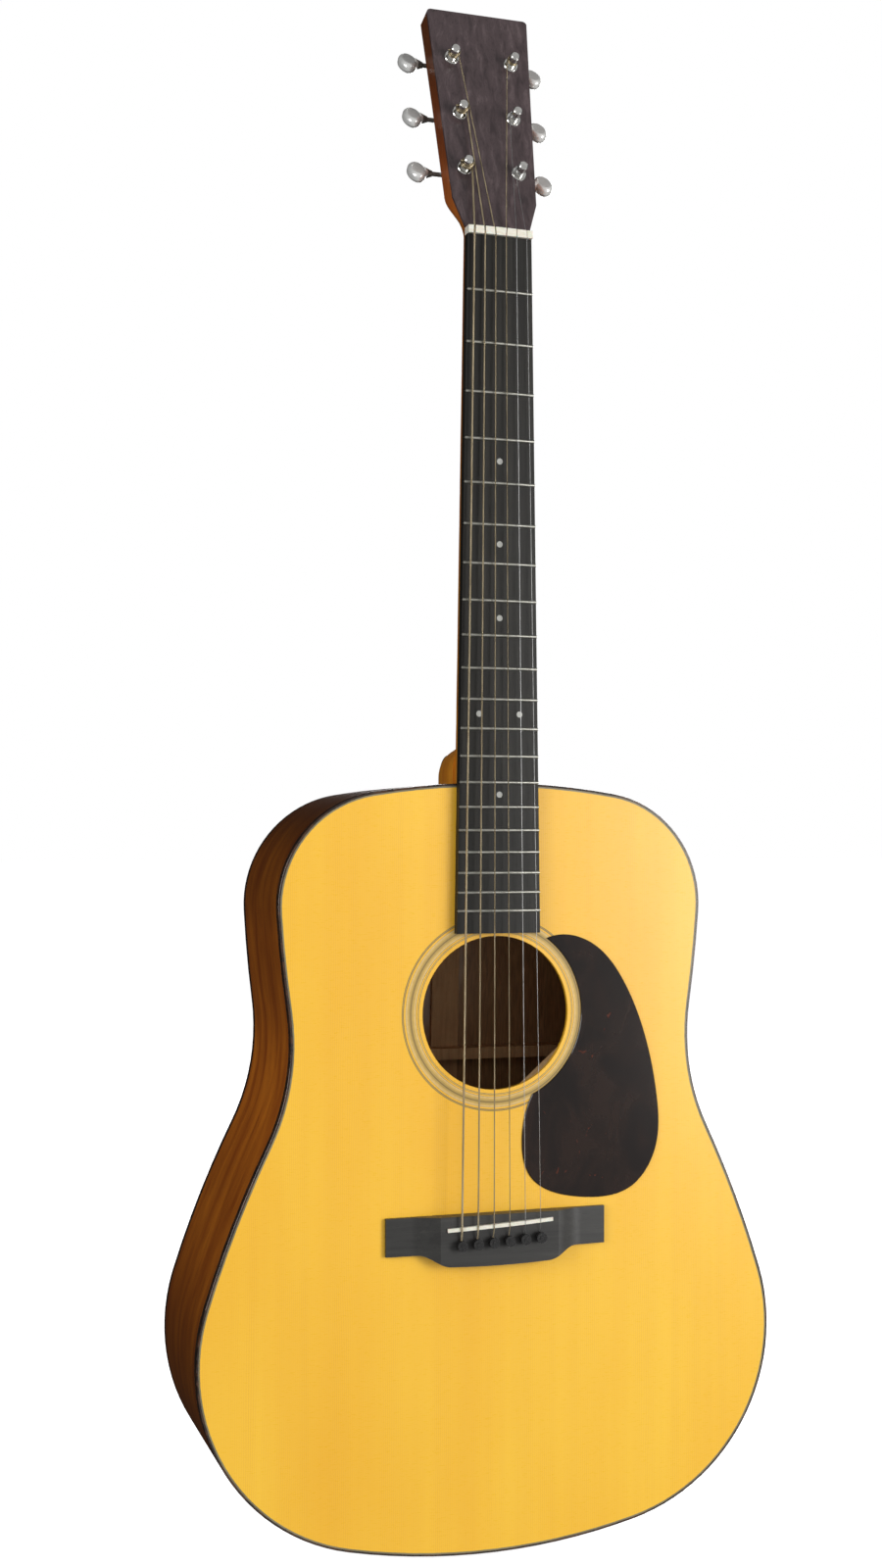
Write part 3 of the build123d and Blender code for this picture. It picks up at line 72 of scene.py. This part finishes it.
# Light and floor
FRONT_LIGHT = 0.46               # brightness of the room in front of the guitar
BACK_LIGHT = 0.008               # and behind it
ROOM_FADE = (-0.6, 0.25)         # the light fades between these, on a room from -1 in front to 1 behind
MIDDLE = (0, 0, 0.5)
NEUTRAL = (1, 1, 1)
# name, place, what it points at, width and height, watts, colour
LIGHTS = (("key", (1.65, -1.85, 0.6), MIDDLE, (1.1, 1.4), 46, (1.0, 0.99, 0.97)),
          ("left", (-2.0, -1.0, 0.9), (-0.1, 0, 0.3), (0.9, 1.3), 22, NEUTRAL),
          ("back", (1.3, 2.2, 1.5), MIDDLE, (1.5, 1.5), 55, NEUTRAL))
FLOOR_REACH = 30.0

# Woods, mm. Painted shade, a tint by height above the tail, darkens the lacquer where less light falls
GRAIN_SPACING = 1.35
GRAIN_WANDER = 9.0
GRAIN_LINE = ((0.0, 0.25), (0.18, 0.0), (0.62, 0.1), (0.9, 1.0), (1.0, 0.25))
# painted shade on the sides: darker at the bottom and the shoulder, brightest at the waist, as the lamps
# fall on them
SIDE_PAINTED_SHADE = ((0.0, 0.34), (120.0, 0.42), (230.0, 0.8), (300.0, 1.0), (400.0, 0.70), (450.0, 0.46),
               (490.0, 0.24))
# painted shade on the neck: darker and redder towards the headstock, which gets less light than the heel
NECK_PAINTED_SHADE = ((530.0, (1.0, 1.0, 1.0)), (580.0, (0.75, 0.75, 0.75)), (860.0, (0.62, 0.55, 0.8)),
              (895.0, (0.60, 0.42, 1.0)), (940.0, (0.32, 0.22, 0.8)), (1010.0, (0.20, 0.17, 0.7)))
GLOSS = {"Coat_Weight": 0.5, "Coat_Roughness": 0.06, "Coat_IOR": 1.45}

# Inlays, mm: where each ring of the rosette starts, and its tone
RING_TONES = {"ivory": (0.74, 0.52, 0.21), "tan": (0.68, 0.44, 0.11), "olive": (0.50, 0.33, 0.085),
              "dusk": (0.25, 0.165, 0.045)}
RINGS = ((50.0, "tan"), (53.2, "dusk"), (53.45, "tan"), (54.1, "dusk"), (54.5, "tan"), (55.2, "dusk"),
         (55.4, "ivory"), (56.3, "tan"), (57.3, "olive"), (58.4, "dusk"), (59.3, "olive"), (60.3, "tan"),
         (61.2, "ivory"), (62.2, "dusk"), (62.5, "tan"), (63.5, "dusk"), (63.9, "olive"), (64.5, "dusk"))
RINGS_END = 66.0
CHEVRON_LENGTH = 4.0
CHEVRON_HALF_WIDTH = 2.1

# Tuners and strings, mm
BUTTON_START = (37.6, 38.8)      # a knob's bright button begins between these, from the middle; nearer the middle the shaft is painted dark as shade
WRAP_PITCHES = {3: 0.17, 4: 0.22, 5: 0.31, 6: 0.40}
STRING_DIAMETERS = (0.30, 0.41, 0.61, 0.81, 1.07, 1.35)
HEAD_TILT = 15.0                 # degrees the headstock leans back
WORM_HEIGHT = -20.5              # the joints' height above the wood of the headstock
POST_RADIUS = 3.175
WAIST_RADIUS = 2.9               # where the string is wound on the post
WINDING_LOW = 5.0                # the winding's lowest and highest turn above the wood
WINDING_HIGH = 7.1
MOST_TURNS = 4.0
HOLE_HEIGHT = 8.9                # the string hole through the post
WINDING_GAP = 0.03               # between wire and post on the waist
START_GAP = 0.27                 # and where the string comes in
TOP_GAP = 0.05                   # and beside the hole
THROUGH_HOLE = (0.85, 0.5, 0.0, -0.6, -1.3)   # the wire in the hole, as shares of its last radius
TURN_STEPS = 20
WINDING_SIDES = 8


# ---------------------------------------------------------------- shader helpers

class Tree:
    """Short calls that add nodes to a node tree."""

    def __init__(self, tree):
        self.tree = tree

    def node(self, kind, inputs=None, **settings):
        new = self.tree.nodes.new(kind)
        for key, value in settings.items():
            setattr(new, key, value)
        for key, value in (inputs or {}).items():
            self.feed(new.inputs[key], value)
        return new

    def feed(self, socket, value):
        """Link a socket, or set a constant on it; three numbers fill a colour."""
        if isinstance(value, bpy.types.NodeSocket):
            self.tree.links.new(value, socket)
        elif socket.type == "RGBA" and len(value) == 3:
            socket.default_value = (*value, 1)
        else:
            socket.default_value = value

    def axes(self, vector):
        """The X, Y and Z of a vector."""
        return self.node("ShaderNodeSeparateXYZ", {0: vector}).outputs

    def stretch(self, vector, factors):
        return self.node("ShaderNodeVectorMath", {0: vector, 1: factors}, operation="MULTIPLY").outputs[0]

    def math(self, operation, a, b=0.0):
        return self.node("ShaderNodeMath", {0: a, 1: b}, operation=operation).outputs[0]

    def remap(self, fac, low, high, to_low=0.0, to_high=1.0):
        inputs = {"Value": fac, "From Min": low, "From Max": high, "To Min": to_low, "To Max": to_high}
        return self.node("ShaderNodeMapRange", inputs).outputs["Result"]

    def noise(self, vector, detail=3.0, rough=0.5, distortion=0.0):
        inputs = {"Vector": vector, "Scale": 1.0, "Detail": detail, "Roughness": rough,
                  "Distortion": distortion}
        return self.node("ShaderNodeTexNoise", inputs).outputs["Fac"]

    def ramp(self, fac, stops, blend="EASE"):
        """A colour ramp through stops of place and grey or colour."""
        new = self.node("ShaderNodeValToRGB", {"Fac": fac})
        band = new.color_ramp
        band.interpolation = blend
        while len(band.elements) < len(stops):
            band.elements.new(0.5)
        for element, (place, colour) in zip(band.elements, stops):
            element.position = place
            element.color = (colour, colour, colour, 1) if isinstance(colour, float) else (*colour, 1)
        return new.outputs["Color"]

    def mix(self, fac, a, b, blend="MIX"):
        inputs = {0: fac, 6: a, 7: b}
        return self.node("ShaderNodeMix", inputs, data_type="RGBA", blend_type=blend).outputs[2]


class Graph(Tree):
    """A material on the Principled shader, with constants set on the shader's own sockets."""

    def __init__(self, name, **sockets):
        self.material = bpy.data.materials.new(name)
        self.material.use_nodes = True
        super().__init__(self.material.node_tree)
        self.shader = self.tree.nodes["Principled BSDF"]
        for socket, value in sockets.items():
            self.shader.inputs[socket.replace("_", " ")].default_value = value

    def set(self, socket, value):
        self.tree.links.new(value, self.shader.inputs[socket])

    def coords(self, scale=(1, 1, 1)):
        """Object coordinates in millimetres, stretched by scale."""
        base = self.node("ShaderNodeTexCoord").outputs["Object"]
        return self.stretch(base, [1000 * value for value in scale])

    def speckle(self, scale, detail=3.0, rough=0.5, distortion=0.0):
        """Noise over the object, finer where scale is larger."""
        return self.noise(self.coords(scale), detail, rough, distortion)

    def bump(self, height, strength, distance):
        inputs = {"Height": height, "Strength": strength, "Distance": distance}
        self.set("Normal", self.node("ShaderNodeBump", inputs).outputs["Normal"])


# ---------------------------------------------------------------- woods

def spruce_top():
    """Amber lacquered spruce: fine straight grain, book-matched on the centre line."""
    g = Graph("spruce_top", Coat_Weight=0.4, Coat_Roughness=0.32, IOR=1.5)
    x, y, z = g.axes(g.coords())
    half = g.math("ABSOLUTE", x)
    folded = g.node("ShaderNodeCombineXYZ", {0: half, 1: y, 2: z}).outputs[0]
    drift = g.noise(g.stretch(folded, (0.02, 0.02, 0.004)), 2.0)
    wander = g.math("MULTIPLY", g.math("SUBTRACT", drift, 0.5), GRAIN_WANDER)
    across = g.math("ADD", half, wander)
    line = g.ramp(g.math("FRACT", g.math("DIVIDE", across, GRAIN_SPACING)), GRAIN_LINE)
    uneven = g.noise(g.stretch(folded, (0.16, 0.1, 0.002)))
    strength = g.math("MULTIPLY", line, g.remap(uneven, 0.3, 0.7, 0.12, 0.6))
    broad = g.remap(g.speckle((0.012, 0.012, 0.0035)), 0.3, 0.7)
    ground = g.mix(broad, (0.90, 0.476, 0.022), (0.96, 0.572, 0.038))
    colour = g.mix(strength, ground, (0.76, 0.36, 0.018))
    silk = g.speckle((0.25, 0.25, 2.2), 2.0)
    colour = g.mix(g.remap(silk, 0.55, 0.8, 0.0, 0.12), colour, (0.95, 0.62, 0.12))
    g.set("Base Color", colour)
    g.set("Roughness", g.remap(silk, 0.3, 0.8, 0.26, 0.38))
    g.bump(strength, 0.12, 0.00006)
    return g.material


def mahogany(name, along, deep, warm, painted_shade=None, inside=None, **sockets):
    """Lacquered mahogany; along is the axis its pores run on ('z', or 'rim' for bent sides).

    Painted shade can be laid on by height, as pairs of height and tint; inside is the light and dark tone
    of the bare inner face.
    """
    g = Graph(name, **sockets)
    pores = {"z": (1.5, 1.5, 0.045), "rim": (0.05, 1.6, 0.05)}[along]
    ribbon = {"z": (0.07, 0.07, 0.008), "rim": (0.012, 0.075, 0.012)}[along]
    fine = g.speckle(pores, 4.0, 0.6)
    band = g.speckle(ribbon, 3.0, 0.55, 0.4)
    ground = g.mix(g.remap(band, 0.3, 0.7), deep, warm)
    dark = tuple(0.32 * value for value in deep)
    streak = g.remap(fine, 0.5, 0.72)
    colour = g.mix(g.math("MULTIPLY", streak, 0.62), ground, dark)
    fleck = g.remap(g.speckle(tuple(2.2 * value for value in pores), 2.0), 0.6, 0.75)
    colour = g.mix(g.math("MULTIPLY", fleck, 0.4), colour, dark)
    # painted shade: darker by height where less light falls
    if painted_shade:
        colour = shade_by_height(g, colour, painted_shade)
    if inside:
        colour = bare_inside(g, colour, *inside)
    g.set("Base Color", colour)
    g.set("Roughness", g.remap(fine, 0.3, 0.8, 0.3, 0.42))
    g.bump(fine, 0.05, 0.00005)
    return g.material


def shade_by_height(g, colour, painted_shade):
    """Paint shade on a colour by height above the tail: a tint that stands in for light falling off."""
    low, high = painted_shade[0][0], painted_shade[-1][0]
    height = g.axes(g.coords())["Z"]
    stops = [((place - low) / (high - low), tint) for place, tint in painted_shade]
    return g.mix(1.0, colour, g.ramp(g.remap(height, low, high), stops), "MULTIPLY")


def bare_inside(g, colour, light, dark):
    """Leave the wood bare on the faces that look towards the front, inside the body."""
    forwards = g.axes(g.node("ShaderNodeNewGeometry").outputs["Normal"])["Y"]
    grain = g.speckle((0.9, 0.9, 0.03), 2.0)
    bare = g.ramp(grain, ((0.35, dark), (0.65, light)), "LINEAR")
    return g.mix(g.remap(forwards, -0.5, -0.6), colour, bare)


def dark_wood(name, along, tones, rough, pore_depth=0.18, **sockets):
    """Ebony or rosewood: long dark streaks, with pores that lacquer makes shallower."""
    g = Graph(name, **sockets)
    pores = {"z": (2.0, 2.0, 0.06), "x": (0.06, 2.0, 2.0)}[along]
    bands = {"z": (0.22, 0.22, 0.008), "x": (0.008, 0.22, 0.22)}[along]
    fine = g.speckle(pores, 3.0, 0.6)
    broad = g.speckle(bands, 4.0, 0.6, 0.5)
    ground = g.ramp(g.remap(broad, 0.28, 0.72), ((0.0, tones[0]), (0.5, tones[1]), (1.0, tones[2])))
    pore = g.remap(fine, 0.55, 0.7)
    colour = g.mix(g.math("MULTIPLY", pore, 0.5), ground, tuple(0.3 * value for value in tones[0]))
    g.set("Base Color", colour)
    g.set("Roughness", g.remap(fine, 0.3, 0.75, rough - 0.06, rough + 0.1))
    g.bump(g.math("SUBTRACT", 1.0, pore), pore_depth, 0.00008)
    return g.material


def raw_wood(name, light, dark):
    """Planed bare wood for the pieces inside the body."""
    g = Graph(name)
    fine = g.speckle((0.45, 0.45, 0.45), 4.0, 0.6)
    grain = g.speckle((0.5, 0.5, 0.03))
    colour = g.mix(g.remap(grain, 0.3, 0.7), dark, light)
    g.set("Base Color", g.mix(g.math("MULTIPLY", g.remap(fine, 0.5, 0.7), 0.25), colour, dark))
    g.set("Roughness", g.remap(fine, 0.3, 0.7, 0.62, 0.78))
    g.bump(fine, 0.15, 0.0001)
    return g.material


# ---------------------------------------------------------------- plastics, bone, inlays

def tortoise():
    """Polished dark tortoise pattern: brown-black clouds with a few amber-red flecks."""
    g = Graph("tortoise", Roughness=0.16, Coat_Weight=0.25, Coat_Roughness=0.05, Specular_IOR_Level=0.28)
    cloud = g.speckle((0.035, 0.035, 0.025), 4.0, 0.6, 0.8)
    fleck = g.remap(g.speckle((0.09, 0.09, 0.06), 3.0, 0.7, 1.6), 0.67, 0.76)
    ground = g.ramp(cloud, ((0.35, (0.009, 0.005, 0.004)), (0.62, (0.020, 0.010, 0.007))))
    g.set("Base Color", g.mix(g.math("MULTIPLY", fleck, 0.7), ground, (0.20, 0.035, 0.012)))
    g.bump(g.speckle((0.03, 0.03, 0.03), 1.0), 0.05, 0.0006)
    return g.material


def binding():
    """Dark binding with a slight brown mottle."""
    g = Graph("binding", Roughness=0.2, Coat_Weight=0.4, Coat_Roughness=0.08)
    cloud = g.speckle((0.12, 0.2, 0.12), 3.0, 0.6, 0.6)
    g.set("Base Color", g.ramp(cloud, ((0.4, (0.022, 0.013, 0.009)), (0.66, (0.075, 0.032, 0.014)))))
    return g.material


def pale_line():
    """The purfling beside the binding: a greyish green-white line."""
    g = Graph("pale_line", Roughness=0.35, Coat_Weight=0.3, Coat_Roughness=0.1)
    tint = g.speckle((0.05, 0.3, 0.05))
    g.set("Base Color", g.ramp(tint, ((0.35, (0.17, 0.15, 0.085)), (0.65, (0.24, 0.21, 0.12)))))
    return g.material


def rosette_inlay(centre_z):
    """Fine rings round the soundhole, coloured by their distance from its centre."""
    g = Graph("rosette_inlay", Coat_Weight=0.35, Coat_Roughness=0.12, Roughness=0.3)
    x, _, z = g.axes(g.coords())
    up = g.math("SUBTRACT", z, centre_z / MM)
    radius = g.math("SQRT", g.math("ADD", g.math("MULTIPLY", x, x), g.math("MULTIPLY", up, up)))
    start = RINGS[0][0]
    stops = [((place - start) / (RINGS_END - start), RING_TONES[tone]) for place, tone in RINGS]
    rings = g.ramp(g.remap(radius, start, RINGS_END), stops, "CONSTANT")
    uneven = g.remap(g.speckle((0.4, 0.4, 0.4), 2.0), 0.3, 0.7, 0.0, 0.2)
    g.set("Base Color", g.mix(uneven, rings, (0.3, 0.2, 0.08)))
    return g.material


def back_inlay():
    """Marquetry down the back: a zigzag of light and dark between two black lines."""
    g = Graph("back_inlay", Coat_Weight=0.9, Coat_Roughness=0.06, Roughness=0.3)
    x, _, z = g.axes(g.coords())
    half = g.math("ABSOLUTE", x)
    along = g.math("DIVIDE", z, CHEVRON_LENGTH)
    wave = g.math("FRACT", g.math("ADD", along, g.math("MULTIPLY", half, 0.5)))
    chevron = g.ramp(wave, ((0.46, (0.42, 0.28, 0.12)), (0.54, (0.05, 0.03, 0.018))))
    edge = g.remap(half, CHEVRON_HALF_WIDTH, CHEVRON_HALF_WIDTH + 0.1)
    g.set("Base Color", g.mix(edge, chevron, (0.02, 0.014, 0.01)))
    return g.material


def bone():
    """Cream bone with faint lines."""
    g = Graph("bone", Roughness=0.32, Subsurface_Weight=0.12, Subsurface_Scale=0.002)
    fine = g.speckle((0.3, 1.5, 1.5), 4.0, 0.6)
    g.set("Base Color", g.ramp(fine, ((0.3, (0.72, 0.68, 0.55)), (0.7, (0.86, 0.84, 0.75)))))
    g.bump(fine, 0.06, 0.00005)
    return g.material


def pearl():
    """Grey-green mother of pearl."""
    g = Graph("pearl", Roughness=0.18, Coat_Weight=0.6, Coat_Roughness=0.05, Metallic=0.15)
    swirl = g.speckle((0.5, 0.5, 0.5), 3.0, 0.6, 2.0)
    tones = ((0.3, (0.34, 0.37, 0.37)), (0.5, (0.50, 0.49, 0.46)), (0.7, (0.40, 0.44, 0.39)))
    g.set("Base Color", g.ramp(swirl, tones))
    return g.material


def black_plastic():
    """Black plastic, slightly uneven in its polish."""
    g = Graph("black_plastic", Coat_Weight=0.4, Coat_Roughness=0.06)
    fine = g.speckle((0.8, 0.8, 0.8), 4.0)
    g.set("Base Color", g.ramp(fine, ((0.3, (0.004, 0.004, 0.004)), (0.7, (0.010, 0.009, 0.009)))))
    g.set("Roughness", g.remap(fine, 0.3, 0.7, 0.18, 0.32))
    return g.material


# ---------------------------------------------------------------- metals

def metal(name, low, high, rough, pattern=(0.5, 0.5, 0.5)):
    """A worked metal: colour and polish vary a little over the surface."""
    g = Graph(name, Metallic=1.0)
    fine = g.speckle(pattern, 4.0, 0.6)
    g.set("Base Color", g.ramp(fine, ((0.3, low), (0.7, high))))
    g.set("Roughness", g.remap(fine, 0.3, 0.7, rough - 0.04, rough + 0.06))
    return g.material


def knob_metal():
    """Satin nickel buttons, half diffuse, so their near-white colour is partly a painted sheen; the worm
    shafts and collars are painted dark as shade.
    """
    g = Graph("satin_nickel", Metallic=0.4)
    fine = g.speckle((0.5, 0.5, 0.5), 4.0, 0.6)
    across = g.axes(g.coords())["X"]
    button = g.remap(g.math("ABSOLUTE", across), *BUTTON_START)
    # near-white nickel that, half diffuse, is partly a painted sheen in place of reflections
    nickel_and_painted_sheen = g.ramp(fine, ((0.3, (0.90, 0.90, 0.88)), (0.7, (0.98, 0.98, 0.96))))
    # painted shade: a dark colour on the shafts and collars, where shadow falls
    shaft_painted_shade = g.ramp(fine, ((0.3, (0.13, 0.12, 0.11)), (0.7, (0.22, 0.21, 0.19))))
    g.set("Base Color", g.mix(button, shaft_painted_shade, nickel_and_painted_sheen))
    g.set("Roughness", g.remap(fine, 0.3, 0.7, 0.18, 0.28))
    return g.material


def wound_string(pitch):
    """Bronze winding: rings across the string, one pitch apart in millimetres."""
    g = Graph(f"bronze_winding_{round(pitch * 100)}", Metallic=1.0)
    along = g.axes(g.coords())["Z"]
    turn = g.math("SINE", g.math("MULTIPLY", along, 2 * math.pi / pitch))
    tarnish = g.speckle((0.4, 0.4, 0.05))
    g.set("Base Color", g.ramp(tarnish, ((0.3, (0.30, 0.24, 0.15)), (0.7, (0.42, 0.35, 0.23)))))
    g.set("Roughness", g.remap(tarnish, 0.3, 0.7, 0.32, 0.44))
    g.bump(turn, 0.6, 0.00005)
    return g.material


# ---------------------------------------------------------------- meshes

def new_object(name, vertices, faces, material):
    """A mesh object with one material, in the scene."""
    mesh = bpy.data.meshes.new(name)
    mesh.from_pydata([tuple(vertex) for vertex in vertices], [], faces)
    mesh.validate()
    mesh.materials.append(material)
    piece = bpy.data.objects.new(name, mesh)
    bpy.context.scene.collection.objects.link(piece)
    return piece


def tube(name, points, radius, material, sides):
    """A smooth round tube along points, closed at both ends, without twist."""
    vertices, faces = [], []
    tangent = (points[1] - points[0]).normalized()
    normal = tangent.orthogonal().normalized()
    for index, point in enumerate(points):
        ahead = points[min(index + 1, len(points) - 1)]
        behind = points[max(index - 1, 0)]
        step = (ahead - behind).normalized()
        normal = (normal - step * normal.dot(step)).normalized()
        side = step.cross(normal)
        for k in range(sides):
            angle = 2 * math.pi * k / sides
            vertices.append(point + (normal * math.cos(angle) + side * math.sin(angle)) * radius)
    for ring in range(len(points) - 1):
        for k in range(sides):
            here = ring * sides + k
            beside = ring * sides + (k + 1) % sides
            faces.append((here, beside, beside + sides, here + sides))
    faces.append(tuple(reversed(range(sides))))
    faces.append(tuple(range(len(vertices) - sides, len(vertices))))
    piece = new_object(name, vertices, faces, material)
    for polygon in piece.data.polygons:
        polygon.use_smooth = True
    return piece


# ---------------------------------------------------------------- string windings on the posts

def winding_path(diameter):
    """Angle, distance from the post's axis and height of points from the string's end to the hole."""
    radius = diameter / 2
    turns = min(MOST_TURNS, int(2 * (WINDING_HIGH - WINDING_LOW) / diameter) / 2)
    path = []
    for step in range(int((turns + 0.5) * TURN_STEPS) + 1):
        turn = step / TURN_STEPS
        settle = max(0.0, 1 - 2 * turn)
        climb = max(0.0, 2 * (turn - turns))
        ring = WAIST_RADIUS + radius + WINDING_GAP + settle * (POST_RADIUS + START_GAP - WAIST_RADIUS)
        ring += min(1.0, 3 * climb) * (POST_RADIUS + TOP_GAP - WAIST_RADIUS)
        height = WINDING_LOW + min(turn, turns) * diameter
        height += climb * (HOLE_HEIGHT - height)
        path.append((2 * math.pi * turn, ring, height))
    angle, ring, height = path[-1]
    for share in THROUGH_HOLE:
        path.append((angle, ring * share, height))
    return path


def winding(number, diameter, material):
    """The string's last turns round its post, riding with the post."""
    tilt = math.radians(HEAD_TILT)
    out = Vector((0, -math.cos(tilt), math.sin(tilt)))
    up = Vector((0, math.sin(tilt), math.cos(tilt)))
    middle = Vector(joints[f"post_{number}_turn"]["pos_m"])
    inward = Vector((-1, 0, 0)) if middle.x > 0 else Vector((1, 0, 0))
    points = []
    for angle, ring, height in winding_path(diameter):
        across = inward * math.cos(angle) + up * math.sin(angle)
        points.append(middle + (out * (height - WORM_HEIGHT) + across * ring) * MM)
    piece = tube(f"winding_{number}", points, diameter / 2 * MM, material, WINDING_SIDES)
    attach(piece, f"post_{number}")


def windings():
    """Turns of each string round its post; the two thinnest are plain wire."""
    plain = metal("wound_plain_wire", (0.42, 0.42, 0.42), (0.55, 0.55, 0.55), 0.28)
    bronze = metal("wound_bronze", (0.30, 0.24, 0.15), (0.42, 0.35, 0.23), 0.36)
    for number, diameter in zip(TUNERS, STRING_DIAMETERS):
        winding(number, diameter, plain if number <= 2 else bronze)


# ---------------------------------------------------------------- camera, lights, floor

def camera():
    """The photographer's place."""
    data = bpy.data.cameras.new("camera")
    data.sensor_fit = "AUTO"
    data.sensor_width = FILM_HEIGHT
    data.lens = LENS
    data.shift_x, data.shift_y = SHIFT
    data.clip_start, data.clip_end = CLIP
    eye = bpy.data.objects.new("camera", data)
    eye.location = EYE
    eye.rotation_euler = Euler([math.radians(angle) for angle in EYE_DEGREES])
    bpy.context.scene.collection.objects.link(eye)
    bpy.context.scene.camera = eye


def area_light(name, place, target, size, watts, colour):
    """A soft box that points at its target."""
    data = bpy.data.lights.new(name, "AREA")
    data.shape = "RECTANGLE"
    data.size, data.size_y = size
    data.energy = watts
    data.color = colour
    light = bpy.data.objects.new(name, data)
    light.location = place
    direction = Vector(target) - Vector(place)
    light.rotation_euler = direction.to_track_quat("-Z", "Y").to_euler()
    bpy.context.scene.collection.objects.link(light)


def surroundings():
    """White to the camera; for everything else a room with a bright front and a dim back."""
    world = bpy.data.worlds.new("world")
    world.use_nodes = True
    t = Tree(world.node_tree)
    across = t.axes(t.node("ShaderNodeTexCoord").outputs["Generated"])["Y"]
    room = t.tree.nodes["Background"]
    t.feed(room.inputs["Color"], WHITE)
    t.feed(room.inputs["Strength"], t.remap(across, *ROOM_FADE, FRONT_LIGHT, BACK_LIGHT))
    plain = t.node("ShaderNodeBackground", {"Color": WHITE})
    seen = t.node("ShaderNodeLightPath").outputs["Is Camera Ray"]
    either = t.node("ShaderNodeMixShader", {0: seen, 1: room.outputs[0], 2: plain.outputs[0]})
    t.feed(t.tree.nodes["World Output"].inputs["Surface"], either.outputs[0])
    bpy.context.scene.world = world


def lay_floor():
    """A pale floor at the guitar's lowest point, which doesn't show in mirrors or tint the wood."""
    g = Graph("pale_floor", Roughness=0.8, Specular_IOR_Level=0.1, Emission_Strength=0.9)
    g.shader.inputs["Emission Color"].default_value = WHITE
    cloud = g.speckle((0.002, 0.002, 0.002))
    g.set("Base Color", g.ramp(cloud, ((0.3, (0.80, 0.80, 0.80)), (0.7, (0.84, 0.84, 0.84)))))
    low = cad_box[0][2]
    signs = ((-1, -1), (1, -1), (1, 1), (-1, 1))
    corners = [(x * FLOOR_REACH, y * FLOOR_REACH, low) for x, y in signs]
    floor = new_object("floor", corners, [(0, 1, 2, 3)], g.material)
    floor.visible_glossy = False
    floor.visible_diffuse = False


def studio():
    """Soft boxes at the front right, the left and the back, over a pale floor."""
    surroundings()
    for light in LIGHTS:
        area_light(*light)
    lay_floor()


# ---------------------------------------------------------------- finishes on the CAD nodes

def dress(material, *names):
    """Give CAD nodes a material in place of the frame's own."""
    for name in names:
        slots = nodes[name].data.materials
        slots.clear()
        slots.append(material)


def body_finishes():
    """Soundboard, sides, back and their inlays, bridge and pins."""
    low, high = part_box("rosette")
    dress(spruce_top(), "soundboard")
    dress(rosette_inlay((low.z + high.z) / 2), "rosette")
    dress(tortoise(), "pickguard")
    # painted shade on the sides, by height
    painted_shade = [(height, (shade, shade, shade)) for height, shade in SIDE_PAINTED_SHADE]
    side = mahogany("mahogany_side", "rim", (0.34, 0.074, 0.005), (0.63, 0.185, 0.012), painted_shade, **GLOSS)
    dress(side, "side_bass", "side_treble")
    bare = ((0.42, 0.24, 0.11), (0.29, 0.155, 0.072))
    back = mahogany("mahogany_back", "z", (0.22, 0.054, 0.007), (0.40, 0.122, 0.015), None, bare, **GLOSS)
    dress(back, "back_plates")
    dress(back_inlay(), "back_strip")
    dress(binding(), "top_binding", "back_binding", "end_graft", "heel_cap")
    dress(pale_line(), "top_purfling")
    grey_ebony = ((0.016, 0.015, 0.014), (0.026, 0.025, 0.023), (0.039, 0.037, 0.033))
    dress(dark_wood("ebony_bridge", "x", grey_ebony, 0.42), "bridge")
    dress(black_plastic(), "bridge_pins", "end_pin")


def neck_finishes():
    """Neck, fingerboard, headstock face, nut and saddle, position dots."""
    # painted shade on the neck, darker towards the headstock
    neck = mahogany("mahogany_neck", "z", (0.52, 0.165, 0.012), (0.74, 0.29, 0.024), NECK_PAINTED_SHADE,
                    Coat_Weight=0.2, Coat_Roughness=0.15, Specular_IOR_Level=0.3)
    dress(neck, "neck", "neck_block", "tail_block")
    ebony = ((0.007, 0.006, 0.005), (0.013, 0.012, 0.010), (0.022, 0.020, 0.016))
    dress(dark_wood("ebony_board", "z", ebony, 0.5, Specular_IOR_Level=0.28), "fingerboard")
    rosewood = ((0.034, 0.022, 0.024), (0.063, 0.043, 0.046), (0.102, 0.073, 0.077))
    face = dark_wood("rosewood", "z", rosewood, 0.36, 0.03, Coat_Weight=0.35, Coat_Roughness=0.2,
                     Specular_IOR_Level=0.3)
    dress(face, "headstock_overlay")
    dress(bone(), "nut", "saddle")
    dress(pearl(), "position_dots")


def inside_finishes():
    """Bare wood of the braces, linings and bridge plate."""
    dress(raw_wood("bare_mahogany", (0.66, 0.40, 0.19), (0.52, 0.29, 0.13)), "back_braces")
    spruce = raw_wood("bare_spruce", (0.62, 0.42, 0.22), (0.45, 0.27, 0.12))
    dress(spruce, "kerfed_linings", "x_braces", "transverse_brace", "tone_bars", "finger_braces")
    dress(raw_wood("bare_maple", (0.62, 0.46, 0.28), (0.48, 0.33, 0.18)), "bridge_plate")


def metal_finishes():
    """Tuners, truss rod, frets and strings."""
    nickel = metal("nickel", (0.66, 0.65, 0.62), (0.80, 0.79, 0.76), 0.13)
    brass = metal("brass", (0.50, 0.33, 0.12), (0.68, 0.50, 0.22), 0.25)
    satin = knob_metal()
    dress(nickel, "tuner_plates", "tuner_screws", "tuner_bushings")
    for number in TUNERS:
        dress(nickel, f"tuner_{number}_post")
        dress(satin, f"tuner_{number}_knob")
        dress(brass, f"tuner_{number}_gear")
    dress(brass, "truss_rod_nut")
    dress(metal("steel", (0.30, 0.30, 0.31), (0.42, 0.42, 0.43), 0.35, (0.6, 0.6, 0.04)), "truss_rod")
    dress(metal("fret_wire", (0.33, 0.33, 0.29), (0.43, 0.42, 0.38), 0.3, (0.1, 1.0, 1.0)), "frets")
    plain = metal("plain_wire", (0.30, 0.30, 0.30), (0.42, 0.42, 0.42), 0.32, (1.0, 1.0, 0.05))
    dress(plain, "string_1", "string_2")
    for number, pitch in WRAP_PITCHES.items():
        dress(wound_string(pitch), f"string_{number}")


def main():
    bpy.context.scene.view_settings.view_transform = "Standard"
    camera()
    studio()
    body_finishes()
    neck_finishes()
    inside_finishes()
    metal_finishes()
    windings()


main()
